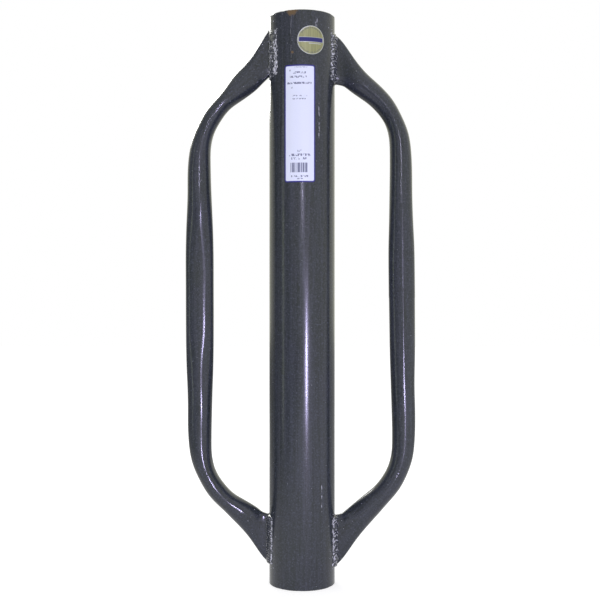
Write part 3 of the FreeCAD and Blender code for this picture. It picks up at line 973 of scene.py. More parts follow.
@dataclass(frozen=True)
class Plug:
    """The striking plug in its recess, with the hand-laid ring of weld round its top face."""

    top: float
    foot: float
    radius: float
    ring_outer: float
    ring_top: float
    edge: float = 0.6 * MM
    groove_depth: float = 0.06 * MM
    groove_pitch: float = 1.3 * MM
    centre_hole: float = 0.4 * MM
    around: int = 120
    ring_width: float = 4.5 * MM
    ring_around: int = 900
    ripples: int = 72

    @classmethod
    def from_frame(cls) -> "Plug":
        """Read the plug's and the weld ring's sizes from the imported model."""
        low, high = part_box("striking_plug")
        _, ring_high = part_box("plug_ring_weld")
        return cls(top=high.z, foot=low.z, radius=high.x, ring_outer=ring_high.x, ring_top=ring_high.z)

    def build_slug(self, paint: Paint) -> Piece:
        """Round bar sawn and faced: on both faces, grooves of d (1 + sin(2 pi r / p)) / 2.

        Args:
            paint: What it is painted with.

        Returns:
            The finished piece.
        """
        shoulder = self.radius - self.edge
        outline = profile([(self.centre_hole, self.foot), (shoulder, self.foot),
                           (self.radius, self.foot + self.edge), (self.radius, self.top - self.edge),
                           (shoulder, self.top), (self.centre_hole, self.top)], [90, 2, 12, 2, 90])
        radii, heights = outline.T
        wave = 0.5 + 0.5 * np.sin(2 * np.pi * radii / self.groove_pitch)
        groove = self.groove_depth * wave * (radii < shoulder)
        inward = np.where(heights > (self.foot + self.top) / 2, -1.0, 1.0)
        grid, surface = turned(radii, heights + inward * groove, self.around)
        shell = Shell("striking_plug_bar")
        shell.add_tube(grid, surface)
        return shell.build(paint, "plug_paint", "striking_plug")

    def build_ring(self, paint: Paint) -> Piece:
        """Fillet of weld with scale-shaped ripples, laid round the recess.

        The fillet's face bulges by 4 s (1 - s) between its two toes, and the ripples are
        |sin| scallops that trail by a chevron towards the toes.

        Args:
            paint: What it is painted with.

        Returns:
            The finished piece.
        """
        turns = np.linspace(0, 2 * np.pi, self.ring_around, endpoint=False)
        share = np.linspace(0, 1, 15)[:, None]
        crest = 4 * share * (1 - share)
        inner = self.ring_outer - self.ring_width + 0.5 * MM * wander(turns, [2.1, 0.9, 0.37], 21)
        outer = self.ring_outer - 0.05 * MM
        low = self.top - 0.3 * MM
        high = self.ring_top - 0.35 * MM + 0.25 * MM * wander(turns, [1.3, 0.5], 22)
        phase = turns * self.ripples / (2 * np.pi) + 0.9 * (2 * share - 1) ** 2
        scallop = scalloped(phase + 0.35 * wander(turns, [1.7, 0.6], 23))
        lift = (0.55 * MM + 0.28 * MM * (scallop - 0.6)) * crest
        radius = inner + (outer - inner) * share - 0.5 * lift
        height = low + (high - low) * share + 0.75 * lift
        under = np.linspace(1, 0, 6)[:-1, None]
        radii = np.concatenate([radius, inner + (outer - inner) * under])
        heights = np.concatenate([height, np.full((len(under), self.ring_around), low - 0.4 * MM)])
        grid, surface = turned(radii, np.minimum(heights, self.ring_top), self.ring_around)
        shell = Shell("plug_ring_bead")
        shell.add_ring(grid, surface)
        return shell.build(paint, "weld_paint", "plug_ring_weld", sharp=60.0)


STICKER_THICKNESS = 0.15 * MM
STICKER_SINK = 0.02 * MM


def on_barrel(turn: Array, radius: Array | float, height: Array) -> Array:
    """Points (r sin t, -r cos t, z), whose turn t starts at the barrel's front."""
    return stacked(radius * np.sin(turn), -radius * np.cos(turn), height)


@dataclass(frozen=True)
class Label:
    """Upright rectangular sticker wrapped on the barrel's front, a little lifted here and there."""

    low: float
    high: float
    start: float
    end: float
    skin: float
    corner: float = 3.0 * MM
    rows: int = 90
    columns: int = 45
    slack: float = 0.06 * MM

    @classmethod
    def from_frame(cls, barrel: Barrel) -> "Label":
        """Read the sticker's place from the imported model: its edges as turns about the axis.

        Args:
            barrel: The barrel that it is stuck on.

        Returns:
            The sticker.
        """
        low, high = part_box("product_label")
        outer = barrel.radius + STICKER_THICKNESS
        return cls(low.z, high.z, math.asin(low.x / outer), math.asin(high.x / outer), barrel.radius)

    def build(self) -> Piece:
        """Wrap a rounded rectangle on the skin.

        Rows close to the top and foot are shorter, by corner - sqrt(corner^2 - d^2), where d is
        how far the row is past the start of the corner.
        """
        half_height = (self.high - self.low) / 2
        half_width = (self.end - self.start) / 2 * self.skin
        inset = self.corner * (1 - np.cos(np.linspace(0, np.pi / 2, 9)))
        straight = np.linspace(-half_height + self.corner, half_height - self.corner, self.rows)[1:-1]
        up = np.concatenate([-half_height + inset, straight, (half_height - inset)[::-1]])
        past = np.maximum(np.abs(up) - (half_height - self.corner), 0)
        reach = half_width - self.corner + np.sqrt(np.maximum(self.corner**2 - past**2, 0))
        across = reach[:, None] * np.linspace(-1, 1, self.columns)
        rise = np.broadcast_to(up[:, None], across.shape)
        lifted = 0.5 + 0.5 * wander(rise + 0.6 * across, [0.021, 0.034, 0.013], 31)
        turn = (self.start + self.end) / 2 + across / self.skin
        outer = self.skin + STICKER_THICKNESS - self.slack * lifted
        height = (self.low + self.high) / 2 + rise
        layers = [on_barrel(turn, radius, height) for radius in (outer, self.skin - STICKER_SINK)]
        shell = Shell("product_sticker")
        shell.add_sheet(*layers, stacked(across, rise))
        paper = PrintedPaper("sticker_paper", half_width, half_height, self.corner).material()
        return shell.build(paper, "label_paper", "product_label", sharp=50.0)


@dataclass(frozen=True)
class Badge:
    """Round foil sticker wrapped on the barrel above the label, with a raised rim."""

    height: float
    turn: float
    radius: float
    skin: float
    rim: float = 0.93
    around: int = 96

    @classmethod
    def from_frame(cls, barrel: Barrel) -> "Badge":
        """Read the badge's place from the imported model.

        Args:
            barrel: The barrel that it is stuck on.

        Returns:
            The sticker.
        """
        low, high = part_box("round_badge")
        outer = barrel.radius + STICKER_THICKNESS
        turn = (math.asin(low.x / outer) + math.asin(high.x / outer)) / 2
        return cls(height=(low.z + high.z) / 2, turn=turn, radius=(high.z - low.z) / 2, skin=barrel.radius)

    def build(self) -> Piece:
        """Wrap a thin disc: rings from the middle out over the face, then back underneath."""
        out = self.radius * np.concatenate([np.linspace(0.03, self.rim, 16), [0.95, 0.98, 1.0]])
        raised = STICKER_THICKNESS * np.where(out > self.rim * self.radius, 1.0, 0.8)
        back = np.concatenate([[self.radius], out[::-1][2::4]])
        rings = np.concatenate([out, back])
        lifts = np.concatenate([raised, np.full(len(back), -STICKER_SINK)])
        turns = np.linspace(0, 2 * np.pi, self.around + 1)
        across = rings[:, None] * np.cos(turns)
        rise = rings[:, None] * np.sin(turns)
        angle = self.turn + across / self.skin
        radius = self.skin + lifts[:, None]
        grid = on_barrel(angle, radius, self.height + rise)
        shell = Shell("foil_badge")
        shell.add_tube(grid[:, :-1], stacked(across, rise))
        foil = EmbossedFoil("badge_foil_gold", self.radius).material()
        return shell.build(foil, "badge_foil", "round_badge", sharp=50.0)


# ---------------- handles


class Side(Enum):
    """Which side of the barrel a handle is on, as the sign of its X."""

    LEFT = -1
    RIGHT = 1


class End(Enum):
    """Which end of a handle, as the way that its leg runs from the joint: down or up."""

    TOP = -1
    BOTTOM = 1


@dataclass(frozen=True)
class Tube:
    """The round tube that both handles are bent from, and how its ends were pressed flat."""

    diameter: float = 26.7 * MM
    end_depth: float = 9.0 * MM
    land: float = 3.5 * MM
    land_taper: float = 0.5
    neck_depth: float = 16.4 * MM
    neck_place: float = 17.0 * MM
    neck_turn: float = 0.42
    flare_place: float = 29.0 * MM
    flatness_steps: tuple[float, ...] = (0.0, 0.15, 0.3, 0.5, 0.85)
    squareness_steps: tuple[float, ...] = (2.0, 1.72, 1.62, 2.4, 4.8)

    def pressed(self, width: float) -> float:
        """The other width of a tube pressed to one width, with its girth unchanged.

        Two half circles and two flats have a girth of pi short + 2 (long - short).

        Args:
            width: The known width.

        Returns:
            The other width.
        """
        half_girth = math.pi / 2 * self.diameter
        if width <= self.diameter:
            return half_girth - (math.pi / 2 - 1) * width
        return (half_girth - width) / (math.pi / 2 - 1)

    def section(self, x: float, z: float, turn: float, width: float) -> list[float]:
        """One section of a free stretch: place, tilt in degrees and its two widths."""
        return [x, z, turn, width, self.pressed(width)]


@dataclass(frozen=True)
class Joint:
    """Where one end of a handle meets the barrel, and the leg and bend that lead away from it.

    Lengths are in metres. The angles, in degrees from the horizontal, are those of the middle of
    the flattened end (slope) and of the leg (angle). The leg's straight line starts off the
    joint's middle by the lift, and the neck lies back from that line by the sink.
    The widths are those seen from the front at the neck, the flare, the bend and its two ends.
    """

    end: End
    height: float
    length: float
    slope: float
    lift: float
    sink: float
    angle: float
    reach: float
    bend_radius: float
    neck: float
    flare: float
    entry: float
    bend: float
    exit: float
    swell: float

    def leg(self, place: float) -> float:
        """Height of the leg's middle at a distance from the skin."""
        return self.height + self.end.value * (self.lift + math.tan(math.radians(self.angle)) * place)

    def sections(self, tube: Tube, skin: float) -> list[list[float]]:
        """Sections of the flattened end, the leg and the bend, from the barrel out to the grip.

        Args:
            tube: The tube that the handle is bent from.
            skin: Radius of the barrel's skin.

        Returns:
            Sections, each as x, z, tilt in degrees, width and depth.
        """
        away = self.end.value
        rise = math.tan(math.radians(self.slope))
        found = [[skin + place, self.height + away * rise * place, 0.0,
                  self.length - tube.land_taper * place, tube.end_depth]
                 for place in (-tube.land, 0.0, tube.land)]
        found.append([skin + tube.neck_place, self.leg(tube.neck_place) - away * self.sink,
                      tube.neck_turn * self.angle, self.neck, tube.neck_depth])
        level, steep = direction(self.angle)
        bend_start = self.reach - self.bend_radius * (1 - steep) - skin
        for share in (0.0, 0.5):
            place = tube.flare_place + (bend_start - tube.flare_place) * share
            width = blend(self.flare, self.entry, share)
            found.append(tube.section(skin + place, self.leg(place), self.angle, width))
        arc_x = self.reach - self.bend_radius
        arc_z = self.leg(bend_start) + away * self.bend_radius * level
        for share in (0.0, 0.25, 0.5, 0.75, 1.0):
            turn = self.angle + (90 - self.angle) * share
            level, steep = direction(turn)
            width = (blend(self.entry, self.bend, 2 * share) if share < 0.5
                     else blend(self.bend, self.exit, 2 * share - 1))
            found.append(tube.section(arc_x + self.bend_radius * steep,
                                      arc_z - away * self.bend_radius * level, turn, width))
        return found


@dataclass(frozen=True)
class Handle:
    """One bent tube with both ends pressed flat against the barrel."""

    side: Side
    top: Joint
    bottom: Joint
    grip: float
    skin: float
    tube: Tube = field(default_factory=Tube)
    around: int = 72
    steps: int = 760
    wrinkle_depth: float = 0.4 * MM
    wrinkle_pitch: float = 3.6 * MM
    wrinkle_run: float = 5.0 * MM
    wrinkle_turn: float = 0.42
    wrinkle_slant: float = 4.0 * MM

    def run(self) -> Array:
        """(n, 5) sections from the upper joint to the lower one: x, z, turn, across, through."""
        upper, lower = (joint.sections(self.tube, self.skin) for joint in (self.top, self.bottom))
        middle_x = (upper[-1][0] + lower[-1][0]) / 2
        middle_z = (upper[-1][1] + lower[-1][1]) / 2
        for half, joint in ((upper, self.top), (lower, self.bottom)):
            x, z = half[-1][:2]
            for step in (1 / 3, 2 / 3, 1):
                place = step * joint.swell
                width = blend(joint.exit, self.grip, step)
                near_x, near_z = x + (middle_x - x) * place, z + (middle_z - z) * place
                half.append(self.tube.section(near_x, near_z, 90.0, width))
        middle = self.tube.section(middle_x, middle_z, 90.0, self.grip)
        lower = [[x, z, 180 - turn, across, through] for x, z, turn, across, through in lower]
        return np.array(upper + [middle] + lower[::-1])

    def grid(self) -> tuple[Array, Array]:
        """Points of the skin and its surface map.

        Each section is the closed curve |u/a|^n + |v/b|^n = 1, with n read from the tube's steps
        at its flatness, 1 - depth / width: below 2 gives the grip a crown, and above 2 squares
        the ends. Matching points of all sections are joined by smooth curves.

        Returns:
            (steps, around, 3) points and their (steps, around + 1, 2) surface map.
        """
        x, z, turn, across, through = self.run().T
        places = np.concatenate([[0.0], np.cumsum(np.hypot(np.diff(x), np.diff(z)))])
        squareness = np.interp(1 - through / across, self.tube.flatness_steps, self.tube.squareness_steps)
        power = (2 / squareness)[:, None]
        turns = 2 * np.pi * np.arange(self.around)[None, :] / self.around
        u = np.sign(np.cos(turns)) * np.abs(np.cos(turns)) ** power * across[:, None] / 2
        v = np.sign(np.sin(turns)) * np.abs(np.sin(turns)) ** power * through[:, None] / 2
        tilt = np.radians(turn)[:, None]
        points = stacked(x[:, None] + u * np.sin(tilt), v, z[:, None] + u * np.cos(tilt))
        inset = places[1] / 3
        run = np.linspace(inset, places[-1] - inset, self.steps)
        smooth = smooth_through(places, points.reshape(len(places), -1), run)
        grid = smooth.reshape(self.steps, self.around, 3)
        middle = grid.mean(axis=1, keepdims=True)
        wave = wander(run, [0.093, 0.061, 0.148], 40 + self.side.value)[:, None, None]
        outward = grid - middle
        grid = middle + outward * (1 - 0.006 * (1 + wave))
        normals = outward / np.linalg.norm(outward, axis=2, keepdims=True)
        grid -= normals * self.wrinkles(run, places)[..., None]
        grid[..., :2] *= self.side.value
        rounds = np.linspace(0, np.pi * self.tube.diameter, self.around + 1)
        return grid, stacked(rounds, run[:, None])

    def wrinkles(self, run: Array, places: Array) -> Array:
        """Depth of the fine creases that bending left across the front of both bends.

        Each patch is d exp(-(s/w)^2 - (a/v)^2) (1 - cos(2 pi s / p)) / 2, for a distance s along the
        tube and an angle a round it from the patch's middle.

        Args:
            run: (n,) places of the rings along the tube.
            places: Places of the sections.

        Returns:
            (n, around) depths.
        """
        turns = 2 * np.pi * np.arange(self.around)[None, :] / self.around
        depth = np.zeros((len(run), self.around))
        bends = ((places[7], places[9]), (places[-10], places[-8]))
        draw = np.random.default_rng(60 + self.side.value)
        for start, end in bends:
            middle = start + (end - start) * draw.uniform(0.35, 0.65)
            facing = np.radians(-90.0 * self.side.value + draw.uniform(-14.0, 14.0))
            round_by = np.angle(np.exp(1j * (turns - facing)))
            along = run[:, None] - middle + self.wrinkle_slant * round_by
            patch = np.exp(-((along / self.wrinkle_run) ** 2) - (round_by / self.wrinkle_turn) ** 2)
            depth += self.wrinkle_depth * patch * (1 - np.cos(2 * np.pi * along / self.wrinkle_pitch)) / 2
        return depth

    def build(self, paint: Paint) -> Piece:
        """Skin the tube and close its ends inside the barrel's wall.

        Args:
            paint: What it is painted with.

        Returns:
            The finished piece.
        """
        grid, surface = self.grid()
        shell = Shell(f"{self.side.name.lower()}_handle_tube")
        shell.add_tube(grid, surface)
        return shell.build(paint, "handle_paint", f"{self.side.name.lower()}_handle", sharp=60.0)


# ---------------- weld beads


@dataclass(frozen=True)
class BeadStyle:
    """How one bead was laid: sizes in metres, heights above its smooth crown."""

    on_barrel: float = 12.0 * MM
    on_handle: float = 3.2 * MM
    pitch: float = 2.9 * MM
    ripple: float = 0.8 * MM
    chevron: float = 0.7
    weave: float = 0.5 * MM
    weave_pitch: float = 6.0 * MM
    lumps: int = 10
    lump_height: float = 0.35 * MM
    rough_below: float = 1.0
    # Pale shares: painted highlight along the toes and on the ripple crests, and pale scale on the rough
    # part.
    toe_highlight: float = 0.62
    toe_width: float = 0.09
    crest_highlight: float = 0.25
    rough_scale: float = 0.0
    overrun: float = 0.4 * MM
    tail: float = 0.0
    spatter: int = 26

    def behind(self) -> "BeadStyle":
        """Return the narrower and cleaner bead that holds the back of the same handle end."""
        return replace(self, on_barrel=9.5 * MM, on_handle=2.4 * MM, lumps=20, rough_below=1.0,
                       toe_highlight=0.4, crest_highlight=0.3, rough_scale=0.0, tail=0.0)


@dataclass(frozen=True)
class Bead:
    """One hand-laid fillet of weld down one side of a flattened handle end."""

    handle: Handle
    joint: Joint
    front: bool
    style: BeadStyle
    seed: int
    bulge: float = 1.75 * MM
    pace: float = 0.24 * MM
    closing: float = 4.0 * MM
    across: int = 30
    beneath: int = 8

    @property
    def name(self) -> str:
        """The bead's part of its node's name."""
        face = "front" if self.front else "back"
        return f"{self.handle.side.name}_{self.joint.end.name}_weld_{face}".lower()

    def toes(self, along: Array) -> tuple[Array, Array]:
        """Both edges of the bead in the horizontal plane, (n, 2) each, as they weave.

        The barrel toe lies on the skin, round from the handle's flat by the bead's width; the
        handle toe lies on the flat, out from the skin.

        Args:
            along: (n,) places down the bead.

        Returns:
            The barrel toe and the handle toe.
        """
        style = self.style
        flat = -self.handle.tube.end_depth / 2
        sway = np.sin(2 * np.pi * along / style.weave_pitch + self.seed)
        drift = wander(along, [0.021, 0.013, 0.034], self.seed + 1)
        y = flat - style.on_barrel - style.weave * sway - 0.7 * MM * drift
        barrel_toe = stacked(np.sqrt(self.handle.skin**2 - y**2), y)
        ragged = 0.5 * MM * wander(along, [0.017, 0.009], self.seed + 2)
        out = style.on_handle + ragged - 0.5 * style.weave * sway
        handle_toe = stacked(self.handle.skin + out, flat + 0.15 * MM)
        return barrel_toe, handle_toe

    def relief(self, along: Array, share: Array) -> tuple[Array, Array]:
        """Height of ripples and lumps over the smooth crown, and how much pale colour shows.

        A ripple is a scallop, |sin(pi phase)|^0.7, whose phase trails towards both toes by the
        chevron, so that the ripples look like overlapping scales. A lump is a round hill,
        exp(-d^2), at a random place. Pale colour along each toe and on the crests is painted
        highlight; on rough lumps it is pale scale.

        Args:
            along: (n, 1) places down the bead.
            share: (1, m) places across it, 0 at the barrel toe and 1 at the handle toe.

        Returns:
            (n, m) heights, and (n, m) shares of pale scale and painted highlight.
        """
        style = self.style
        trail = style.chevron * (2 * share - 1) ** 2
        drift = 0.5 * wander(along, [0.011, 0.019], self.seed + 3)
        scallop = scalloped(along / style.pitch + trail + drift)
        strength = 0.75 + 0.45 * wander(along, [0.008, 0.023], self.seed + 4)
        height = style.ripple * strength * (scallop - 0.62)
        draw = np.random.default_rng(self.seed + 5)
        low, high = float(along.min()), float(along.max())
        reach = style.rough_below * (high - low)
        place = low + draw.uniform(0, reach, style.lumps)
        across = draw.uniform(0.05, 0.95, style.lumps)
        size = draw.uniform(0.5, 1.3, style.lumps) * MM
        tall = draw.uniform(0.3, 1.0, style.lumps) * style.lump_height
        off = ((along[..., None] - place) / size) ** 2 + ((share[..., None] - across) * 9 * MM / size) ** 2
        hills = (tall * np.exp(-off)).sum(axis=-1)
        # Painted highlight: pale bands along both toes and on the ripple crests; pale on rough lumps is
        # scale.
        toes = sum(np.exp(-((share - middle) / style.toe_width) ** 2) for middle in (0.12, 0.88))
        painted_crest_highlights = ease((scallop - 0.75) / 0.25) * ease((0.5 - np.abs(share - 0.5)) / 0.2)
        rough = ease((low + reach - along) / (6 * MM))
        scale = style.toe_highlight * toes + style.crest_highlight * painted_crest_highlights + style.rough_scale * rough
        scale = scale + 0.25 * hills / style.lump_height * (style.rough_scale > 0)
        fade = ease(np.minimum(along - low, high - along) / (3 * MM))
        return height + hills, np.clip(scale, 0, 0.85) * (0.4 + 0.6 * fade)

    def grid(self) -> tuple[Array, Array]:
        """Closed rings down the bead: over the crown, then back through the steel.

        Returns:
            (n, m, 3) points and their (n, m) share of pale scale and painted highlight.
        """
        half = self.joint.length / 2 + self.style.overrun
        length = 2 * half + self.style.tail
        along = np.linspace(half - length, half, int(length / self.pace))
        barrel_toe, handle_toe = self.toes(along)
        share = np.linspace(0, 1, self.across)
        chord = handle_toe - barrel_toe
        outward = stacked(chord[:, 1], -chord[:, 0])
        outward /= np.linalg.norm(outward, axis=1, keepdims=True)
        crest = 4 * share * (1 - share)
        relief, scale = self.relief(along[:, None], share[None, :])
        lift = self.bulge * crest + relief * (0.25 + 0.75 * crest)
        crown = (barrel_toe[:, None] + chord[:, None] * share[None, :, None]
                 + outward[:, None] * lift[..., None])
        under = np.linspace(0, 1, self.beneath)[None, 1:-1, None]
        inner = np.array([self.handle.skin - 3.0 * MM, -2.2 * MM])
        back = ((1 - under) ** 2 * handle_toe[:, None] + 2 * under * (1 - under) * inner
                + under**2 * barrel_toe[:, None])
        ring = np.concatenate([crown, back], axis=1)
        root = np.array([self.handle.skin - 1.0 * MM, -4.2 * MM])
        past = np.clip(1 - np.minimum(along - along[0], along[-1] - along) / self.closing, 0, 1)
        closing = np.sqrt(np.maximum(1 - past**2, 0.02))[:, None, None]
        ring = root + (ring - root) * closing
        height = np.broadcast_to(self.joint.height + along[:, None], ring.shape[:2])
        hidden = np.zeros((len(along), back.shape[1]))
        return np.concatenate([ring, height[..., None]], axis=-1), np.concatenate([scale, hidden], axis=1)

    def spatter(self, draw: np.random.Generator) -> tuple[Array, Array]:
        """Centres and radii of the grains thrown on the barrel and on the handle's flat.

        Args:
            draw: Source of the random places and sizes.

        Returns:
            (n, 3) centres and (n,) radii.
        """
        count = self.style.spatter
        skin = self.handle.skin
        on_barrel = count // 2
        turn = draw.uniform(math.radians(20), math.radians(38), on_barrel)
        half = 0.5 * self.joint.length + 6 * MM
        height = self.joint.height + draw.uniform(-half, half, on_barrel)
        barrel = stacked(skin * np.cos(turn), -skin * np.sin(turn), height)
        sign = self.handle.side.value
        grid = self.handle.grid()[0] * np.array([sign, sign, 1])
        x, y, z = np.moveaxis(grid, -1, 0)
        close = (x > skin + 3 * MM) & (x < skin + 30 * MM) & (np.abs(z - self.joint.height) < 45 * MM)
        flat = grid[close & (y < -3.6 * MM)]
        chosen = flat[draw.integers(0, len(flat), count - on_barrel)]
        centres = np.concatenate([barrel, chosen])
        radii = 0.2 * MM + 0.36 * MM * draw.random(count) ** 3
        return centres, radii

    def build(self, paint: Paint) -> Piece:
        """Lay the bead in the right-hand front quarter, then turn it to its own quarter.

        Args:
            paint: What it is painted with.

        Returns:
            The finished piece.
        """
        quarter = np.array([self.handle.side.value, 1 if self.front else -1, 1])
        grid, scale = self.grid()
        grid = grid * quarter
        rounds = np.linspace(0, 25 * MM, grid.shape[1] + 1)
        surface = stacked(rounds, grid[:, :1, 2])
        shell = Shell(f"{self.name}_bead")
        shell.add_tube(grid, surface, scale)
        centres, radii = self.spatter(np.random.default_rng(self.seed + 6))
        shell.add_balls(centres * quarter, radii)
        return shell.build(paint, "weld_paint", self.name, sharp=60.0)


# ---------------- studio


@dataclass(frozen=True)
class Lamp:
    """A rectangular lamp: where it hangs, its width and height, its watts and its light's colour."""

    name: str
    place: Triple
    size: tuple[float, float]
    power: float
    colour: Triple

    def hang(self, target: Vector) -> None:
        """Hang the lamp so that it faces a target.

        Args:
            target: The point that it faces.
        """
        data = bpy.data.lights.new(self.name, "AREA")
        data.shape = "RECTANGLE"
        data.size, data.size_y = self.size
        data.energy = self.power
        data.color = self.colour
        lamp = bpy.data.objects.new(self.name, data)
        lamp.location = self.place
        lamp.rotation_euler = (target - Vector(self.place)).to_track_quat("-Z", "Y").to_euler()
        bpy.context.scene.collection.objects.link(lamp)


LAMPS = (
    Lamp("strip_lamp", (0.39, -1.43, 0.16), size=(0.08, 0.16), power=8.3, colour=(0.68, 0.62, 1.0)),
    Lamp("back_lamp", (-0.5, 1.5, 1.1), size=(0.6, 0.6), power=9.0, colour=(1.0, 1.0, 1.0)),
    Lamp("fill_lamp", (-0.62, -1.1, 0.25), size=(0.35, 0.9), power=0.32, colour=(0.72, 0.7, 1.0)),
    Lamp("side_lamp", (-1.35, -0.52, 0.3), size=(0.07, 1.1), power=0.9, colour=(0.9, 1.0, 0.72)),
    Lamp("spot_lamp", (0.02, -1.45, 0.60), size=(0.03, 0.03), power=1.1, colour=(0.72, 0.68, 1.0)),
)


@dataclass(frozen=True)
class Studio:
    """Pale floor, white surround, five lamps and the camera."""

    middle: float
    distance: float = 1.194
    aside: float = -2.3 * MM
    lens: float = 64.2
    floor_half: float = 6.0
    floor_glow: float = 0.66
    ambient: float = 0.85

    def place_camera(self) -> None:
        """Stand the camera level, facing the driver's front at half its height."""
        data = bpy.data.cameras.new("studio_camera")
        data.lens = self.lens
        data.sensor_width = 36.0
        data.clip_start = 0.01
        data.clip_end = 50.0
        camera = bpy.data.objects.new("studio_camera", data)
        camera.location = (self.aside, -self.distance, self.middle)
        camera.rotation_euler = (math.pi / 2, 0.0, 0.0)
        bpy.context.scene.collection.objects.link(camera)
        bpy.context.scene.camera = camera

    @staticmethod
    def rays(recipe: Recipe) -> list[Signal]:
        """1 for a ray from the camera, from a glossy surface and through a clear one, in turn."""
        path = recipe.node("LightPath", {}, "Is Camera Ray")
        return [path, path.other("Is Glossy Ray"), path.other("Is Transmission Ray")]

    def lay_floor(self) -> None:
        """Lay a pale floor that keeps the driver's shadow and lets a low camera look through.

        Paint mirrors it darker than it looks, and darkest on the left, where the surround is dark.
        """
        far = self.floor_half
        mesh = bpy.data.meshes.new("studio_floor")
        mesh.from_pydata([(-far, -far, 0), (far, -far, 0), (far, far, 0), (-far, far, 0)], [], [(0, 1, 2, 3)])
        recipe = Recipe(bpy.data.materials.new("pale_floor"))
        camera, glossy, through = self.rays(recipe)
        x, y, _ = recipe.parts(recipe.places())
        near = recipe.ramp(x, -1.2, -0.1, 0.1, 1.0) * recipe.ramp(y, -0.3, 0.5, 0.95, 0.3)
        soft = recipe.node("BsdfDiffuse", {"Color": recipe.mix(glossy, (0.5, 0.5, 0.5), (0.2, 0.2, 0.18))})
        strength = recipe.largest([camera, through]) * self.floor_glow + glossy * near
        lit = recipe.node("AddShader", {0: soft, 1: recipe.node("Emission", {"Strength": strength})})
        under = recipe.node("NewGeometry", {}, "Backfacing")
        recipe.finish(recipe.node("MixShader", {0: under, 1: lit, 2: recipe.node("BsdfTransparent", {})}))
        mesh.materials.append(recipe.owner)
        floor = bpy.data.objects.new("studio_floor", mesh)
        bpy.context.scene.collection.objects.link(floor)
        floor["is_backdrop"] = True

    def light_room(self) -> None:
        """White surround where it is seen, and softer light from it on the driver.

        Paint mirrors less of it on the left, but not behind, and a little yellower.
        """
        recipe = Recipe(bpy.data.worlds.new("white_room"))
        camera, glossy, through = self.rays(recipe)
        level = recipe.ramp(recipe.largest([camera, glossy, through]), 0.0, 1.0, self.ambient, 1.0, "LINEAR")
        x, y, _ = recipe.parts(recipe.node("TexCoord", {}, "Generated"))
        sides = recipe.largest([recipe.ramp(x, -0.95, 0.0, 0.22, 0.98, "LINEAR"),
                                recipe.ramp(y, 0.15, 0.6, 0.0, 0.8, "LINEAR")])
        strength = level * recipe.ramp(glossy, 0.0, 1.0, 1.0, sides, "LINEAR")
        colour = recipe.mix(glossy, (1.0, 1.0, 1.0), (1.0, 1.0, 0.84))
        recipe.finish(recipe.node("Background", {"Color": colour, "Strength": strength}))
        bpy.context.scene.world = recipe.owner

    def set_up(self) -> None:
        """Put the whole studio in place."""
        bpy.context.scene.view_settings.view_transform = "Standard"
        self.place_camera()
        self.lay_floor()
        self.light_room()
        for lamp in LAMPS:
            lamp.hang(Vector((0.0, 0.0, self.middle)))


def driver_joints(length: float) -> dict[tuple[Side, End], Joint]:
    """The four joints of handle and barrel, with their legs and bends.

    Args:
        length: Length of the barrel; the upper joints are placed down from its top.

    Returns:
        The joint of each side and end.
    """
    return {
        (Side.LEFT, End.TOP): Joint(
            End.TOP, height=length - 39.7 * MM, length=52.4 * MM, slope=50.0, lift=6.5 * MM, sink=0.3 * MM,
            angle=44.0, reach=114.5 * MM, bend_radius=95.5 * MM, neck=32.5 * MM, flare=27.9 * MM,
            entry=19.0 * MM, bend=19.7 * MM, exit=25.25 * MM, swell=0.68),
        (Side.LEFT, End.BOTTOM): Joint(
            End.BOTTOM, height=49.7 * MM, length=54.1 * MM, slope=27.5, lift=5.6 * MM, sink=2.3 * MM,
            angle=37.6, reach=113.7 * MM, bend_radius=86.5 * MM, neck=34.5 * MM, flare=26.9 * MM,
            entry=21.9 * MM, bend=20.7 * MM, exit=25.7 * MM, swell=0.81),
        (Side.RIGHT, End.TOP): Joint(
            End.TOP, height=length - 46.8 * MM, length=54.9 * MM, slope=22.6, lift=4.0 * MM, sink=2.8 * MM,
            angle=38.6, reach=109.8 * MM, bend_radius=84.3 * MM, neck=34.1 * MM, flare=26.4 * MM,
            entry=24.0 * MM, bend=20.5 * MM, exit=24.1 * MM, swell=0.85),
        (Side.RIGHT, End.BOTTOM): Joint(
            End.BOTTOM, height=47.4 * MM, length=56.4 * MM, slope=24.7, lift=0.8 * MM, sink=1.5 * MM,
            angle=44.0, reach=113.0 * MM, bend_radius=84.4 * MM, neck=35.8 * MM, flare=28.8 * MM,
            entry=23.5 * MM, bend=23.1 * MM, exit=25.4 * MM, swell=1.03),
    }


GRIPS = {Side.LEFT: 31.3 * MM, Side.RIGHT: 29.5 * MM}

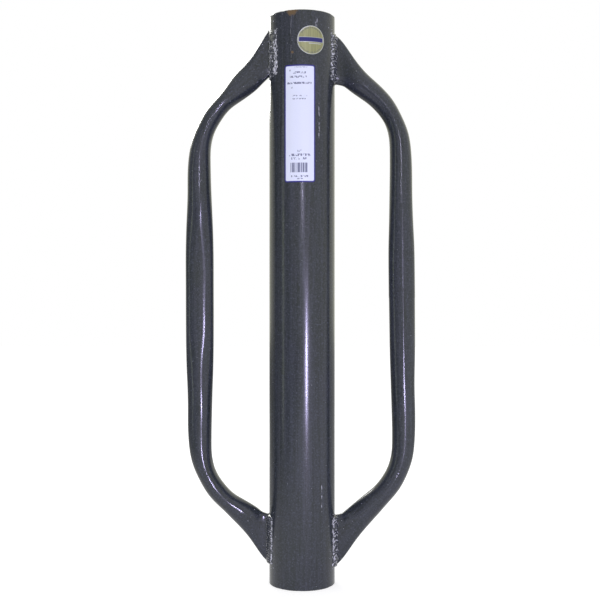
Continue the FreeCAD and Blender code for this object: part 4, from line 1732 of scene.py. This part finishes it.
STYLES = {
    (Side.LEFT, End.TOP): BeadStyle(on_barrel=20 * MM, on_handle=0.3 * MM, pitch=2.4 * MM, lumps=110,
                                    lump_height=0.7 * MM, rough_below=0.72, ripple=0.45 * MM,
                                    toe_highlight=0.5, toe_width=0.14, crest_highlight=0.1, rough_scale=0.12,
                                    tail=5 * MM, spatter=30),
    (Side.RIGHT, End.TOP): BeadStyle(on_barrel=14.0 * MM, on_handle=2.4 * MM, pitch=3.3 * MM,
                                     weave=1.0 * MM, weave_pitch=6.6 * MM, lumps=20, toe_highlight=0.5,
                                     crest_highlight=0.45, spatter=20),
    (Side.LEFT, End.BOTTOM): BeadStyle(on_barrel=12.5 * MM, pitch=2.6 * MM, weave=0.4 * MM, lumps=20,
                                       ripple=0.7 * MM, spatter=18),
    (Side.RIGHT, End.BOTTOM): BeadStyle(on_barrel=10.5 * MM, pitch=4.6 * MM, weave=1.2 * MM,
                                        weave_pitch=9.2 * MM, lumps=18, ripple=1.0 * MM, chevron=1.0,
                                        toe_highlight=0.45, crest_highlight=0.6, spatter=18),
}


def make_handle(side: Side, barrel: Barrel) -> Handle:
    """Lay out one handle from its joints' places on the barrel.

    Args:
        side: Which side it is on.
        barrel: The barrel that it is welded to.

    Returns:
        The handle.
    """
    joints = driver_joints(barrel.length)
    return Handle(side, joints[side, End.TOP], joints[side, End.BOTTOM], GRIPS[side], barrel.radius)


def main() -> None:
    """Load the frame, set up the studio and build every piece."""
    logging.basicConfig(level=logging.INFO, format="%(message)s")
    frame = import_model()
    packed_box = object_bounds()
    barrel = Barrel.from_frame(frame["record"])
    plug = Plug.from_frame()
    Studio(middle=barrel.length / 2 + 0.3 * MM).set_up()
    paints = Finishes.mixed(barrel.length, barrel.radius)
    pieces = [barrel.build(paints.barrel), plug.build_slug(paints.plug), plug.build_ring(paints.weld)]
    for number, side in enumerate(Side):
        handle = make_handle(side, barrel)
        pieces.append(handle.build(paints.handle))
        for joint in (handle.top, handle.bottom):
            for front in (True, False):
                seed = 100 * number + 20 * (joint.end.value + 1) + 10 * front
                style = STYLES[side, joint.end]
                bead = Bead(handle, joint, front, style if front else style.behind(), seed)
                pieces.append(bead.build(paints.weld))
    pieces.append(Label.from_frame(barrel).build())
    pieces.append(Badge.from_frame(barrel).build())
    for piece in pieces:
        LOG.info("%s: %d faces", piece.name, len(piece.data.polygons))
    boxes = {"cad": packed_box, "visual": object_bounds()}
    sizes = {name: [list(corner) for corner in box] for name, box in boxes.items()}


if __name__ == "__main__":
    main()
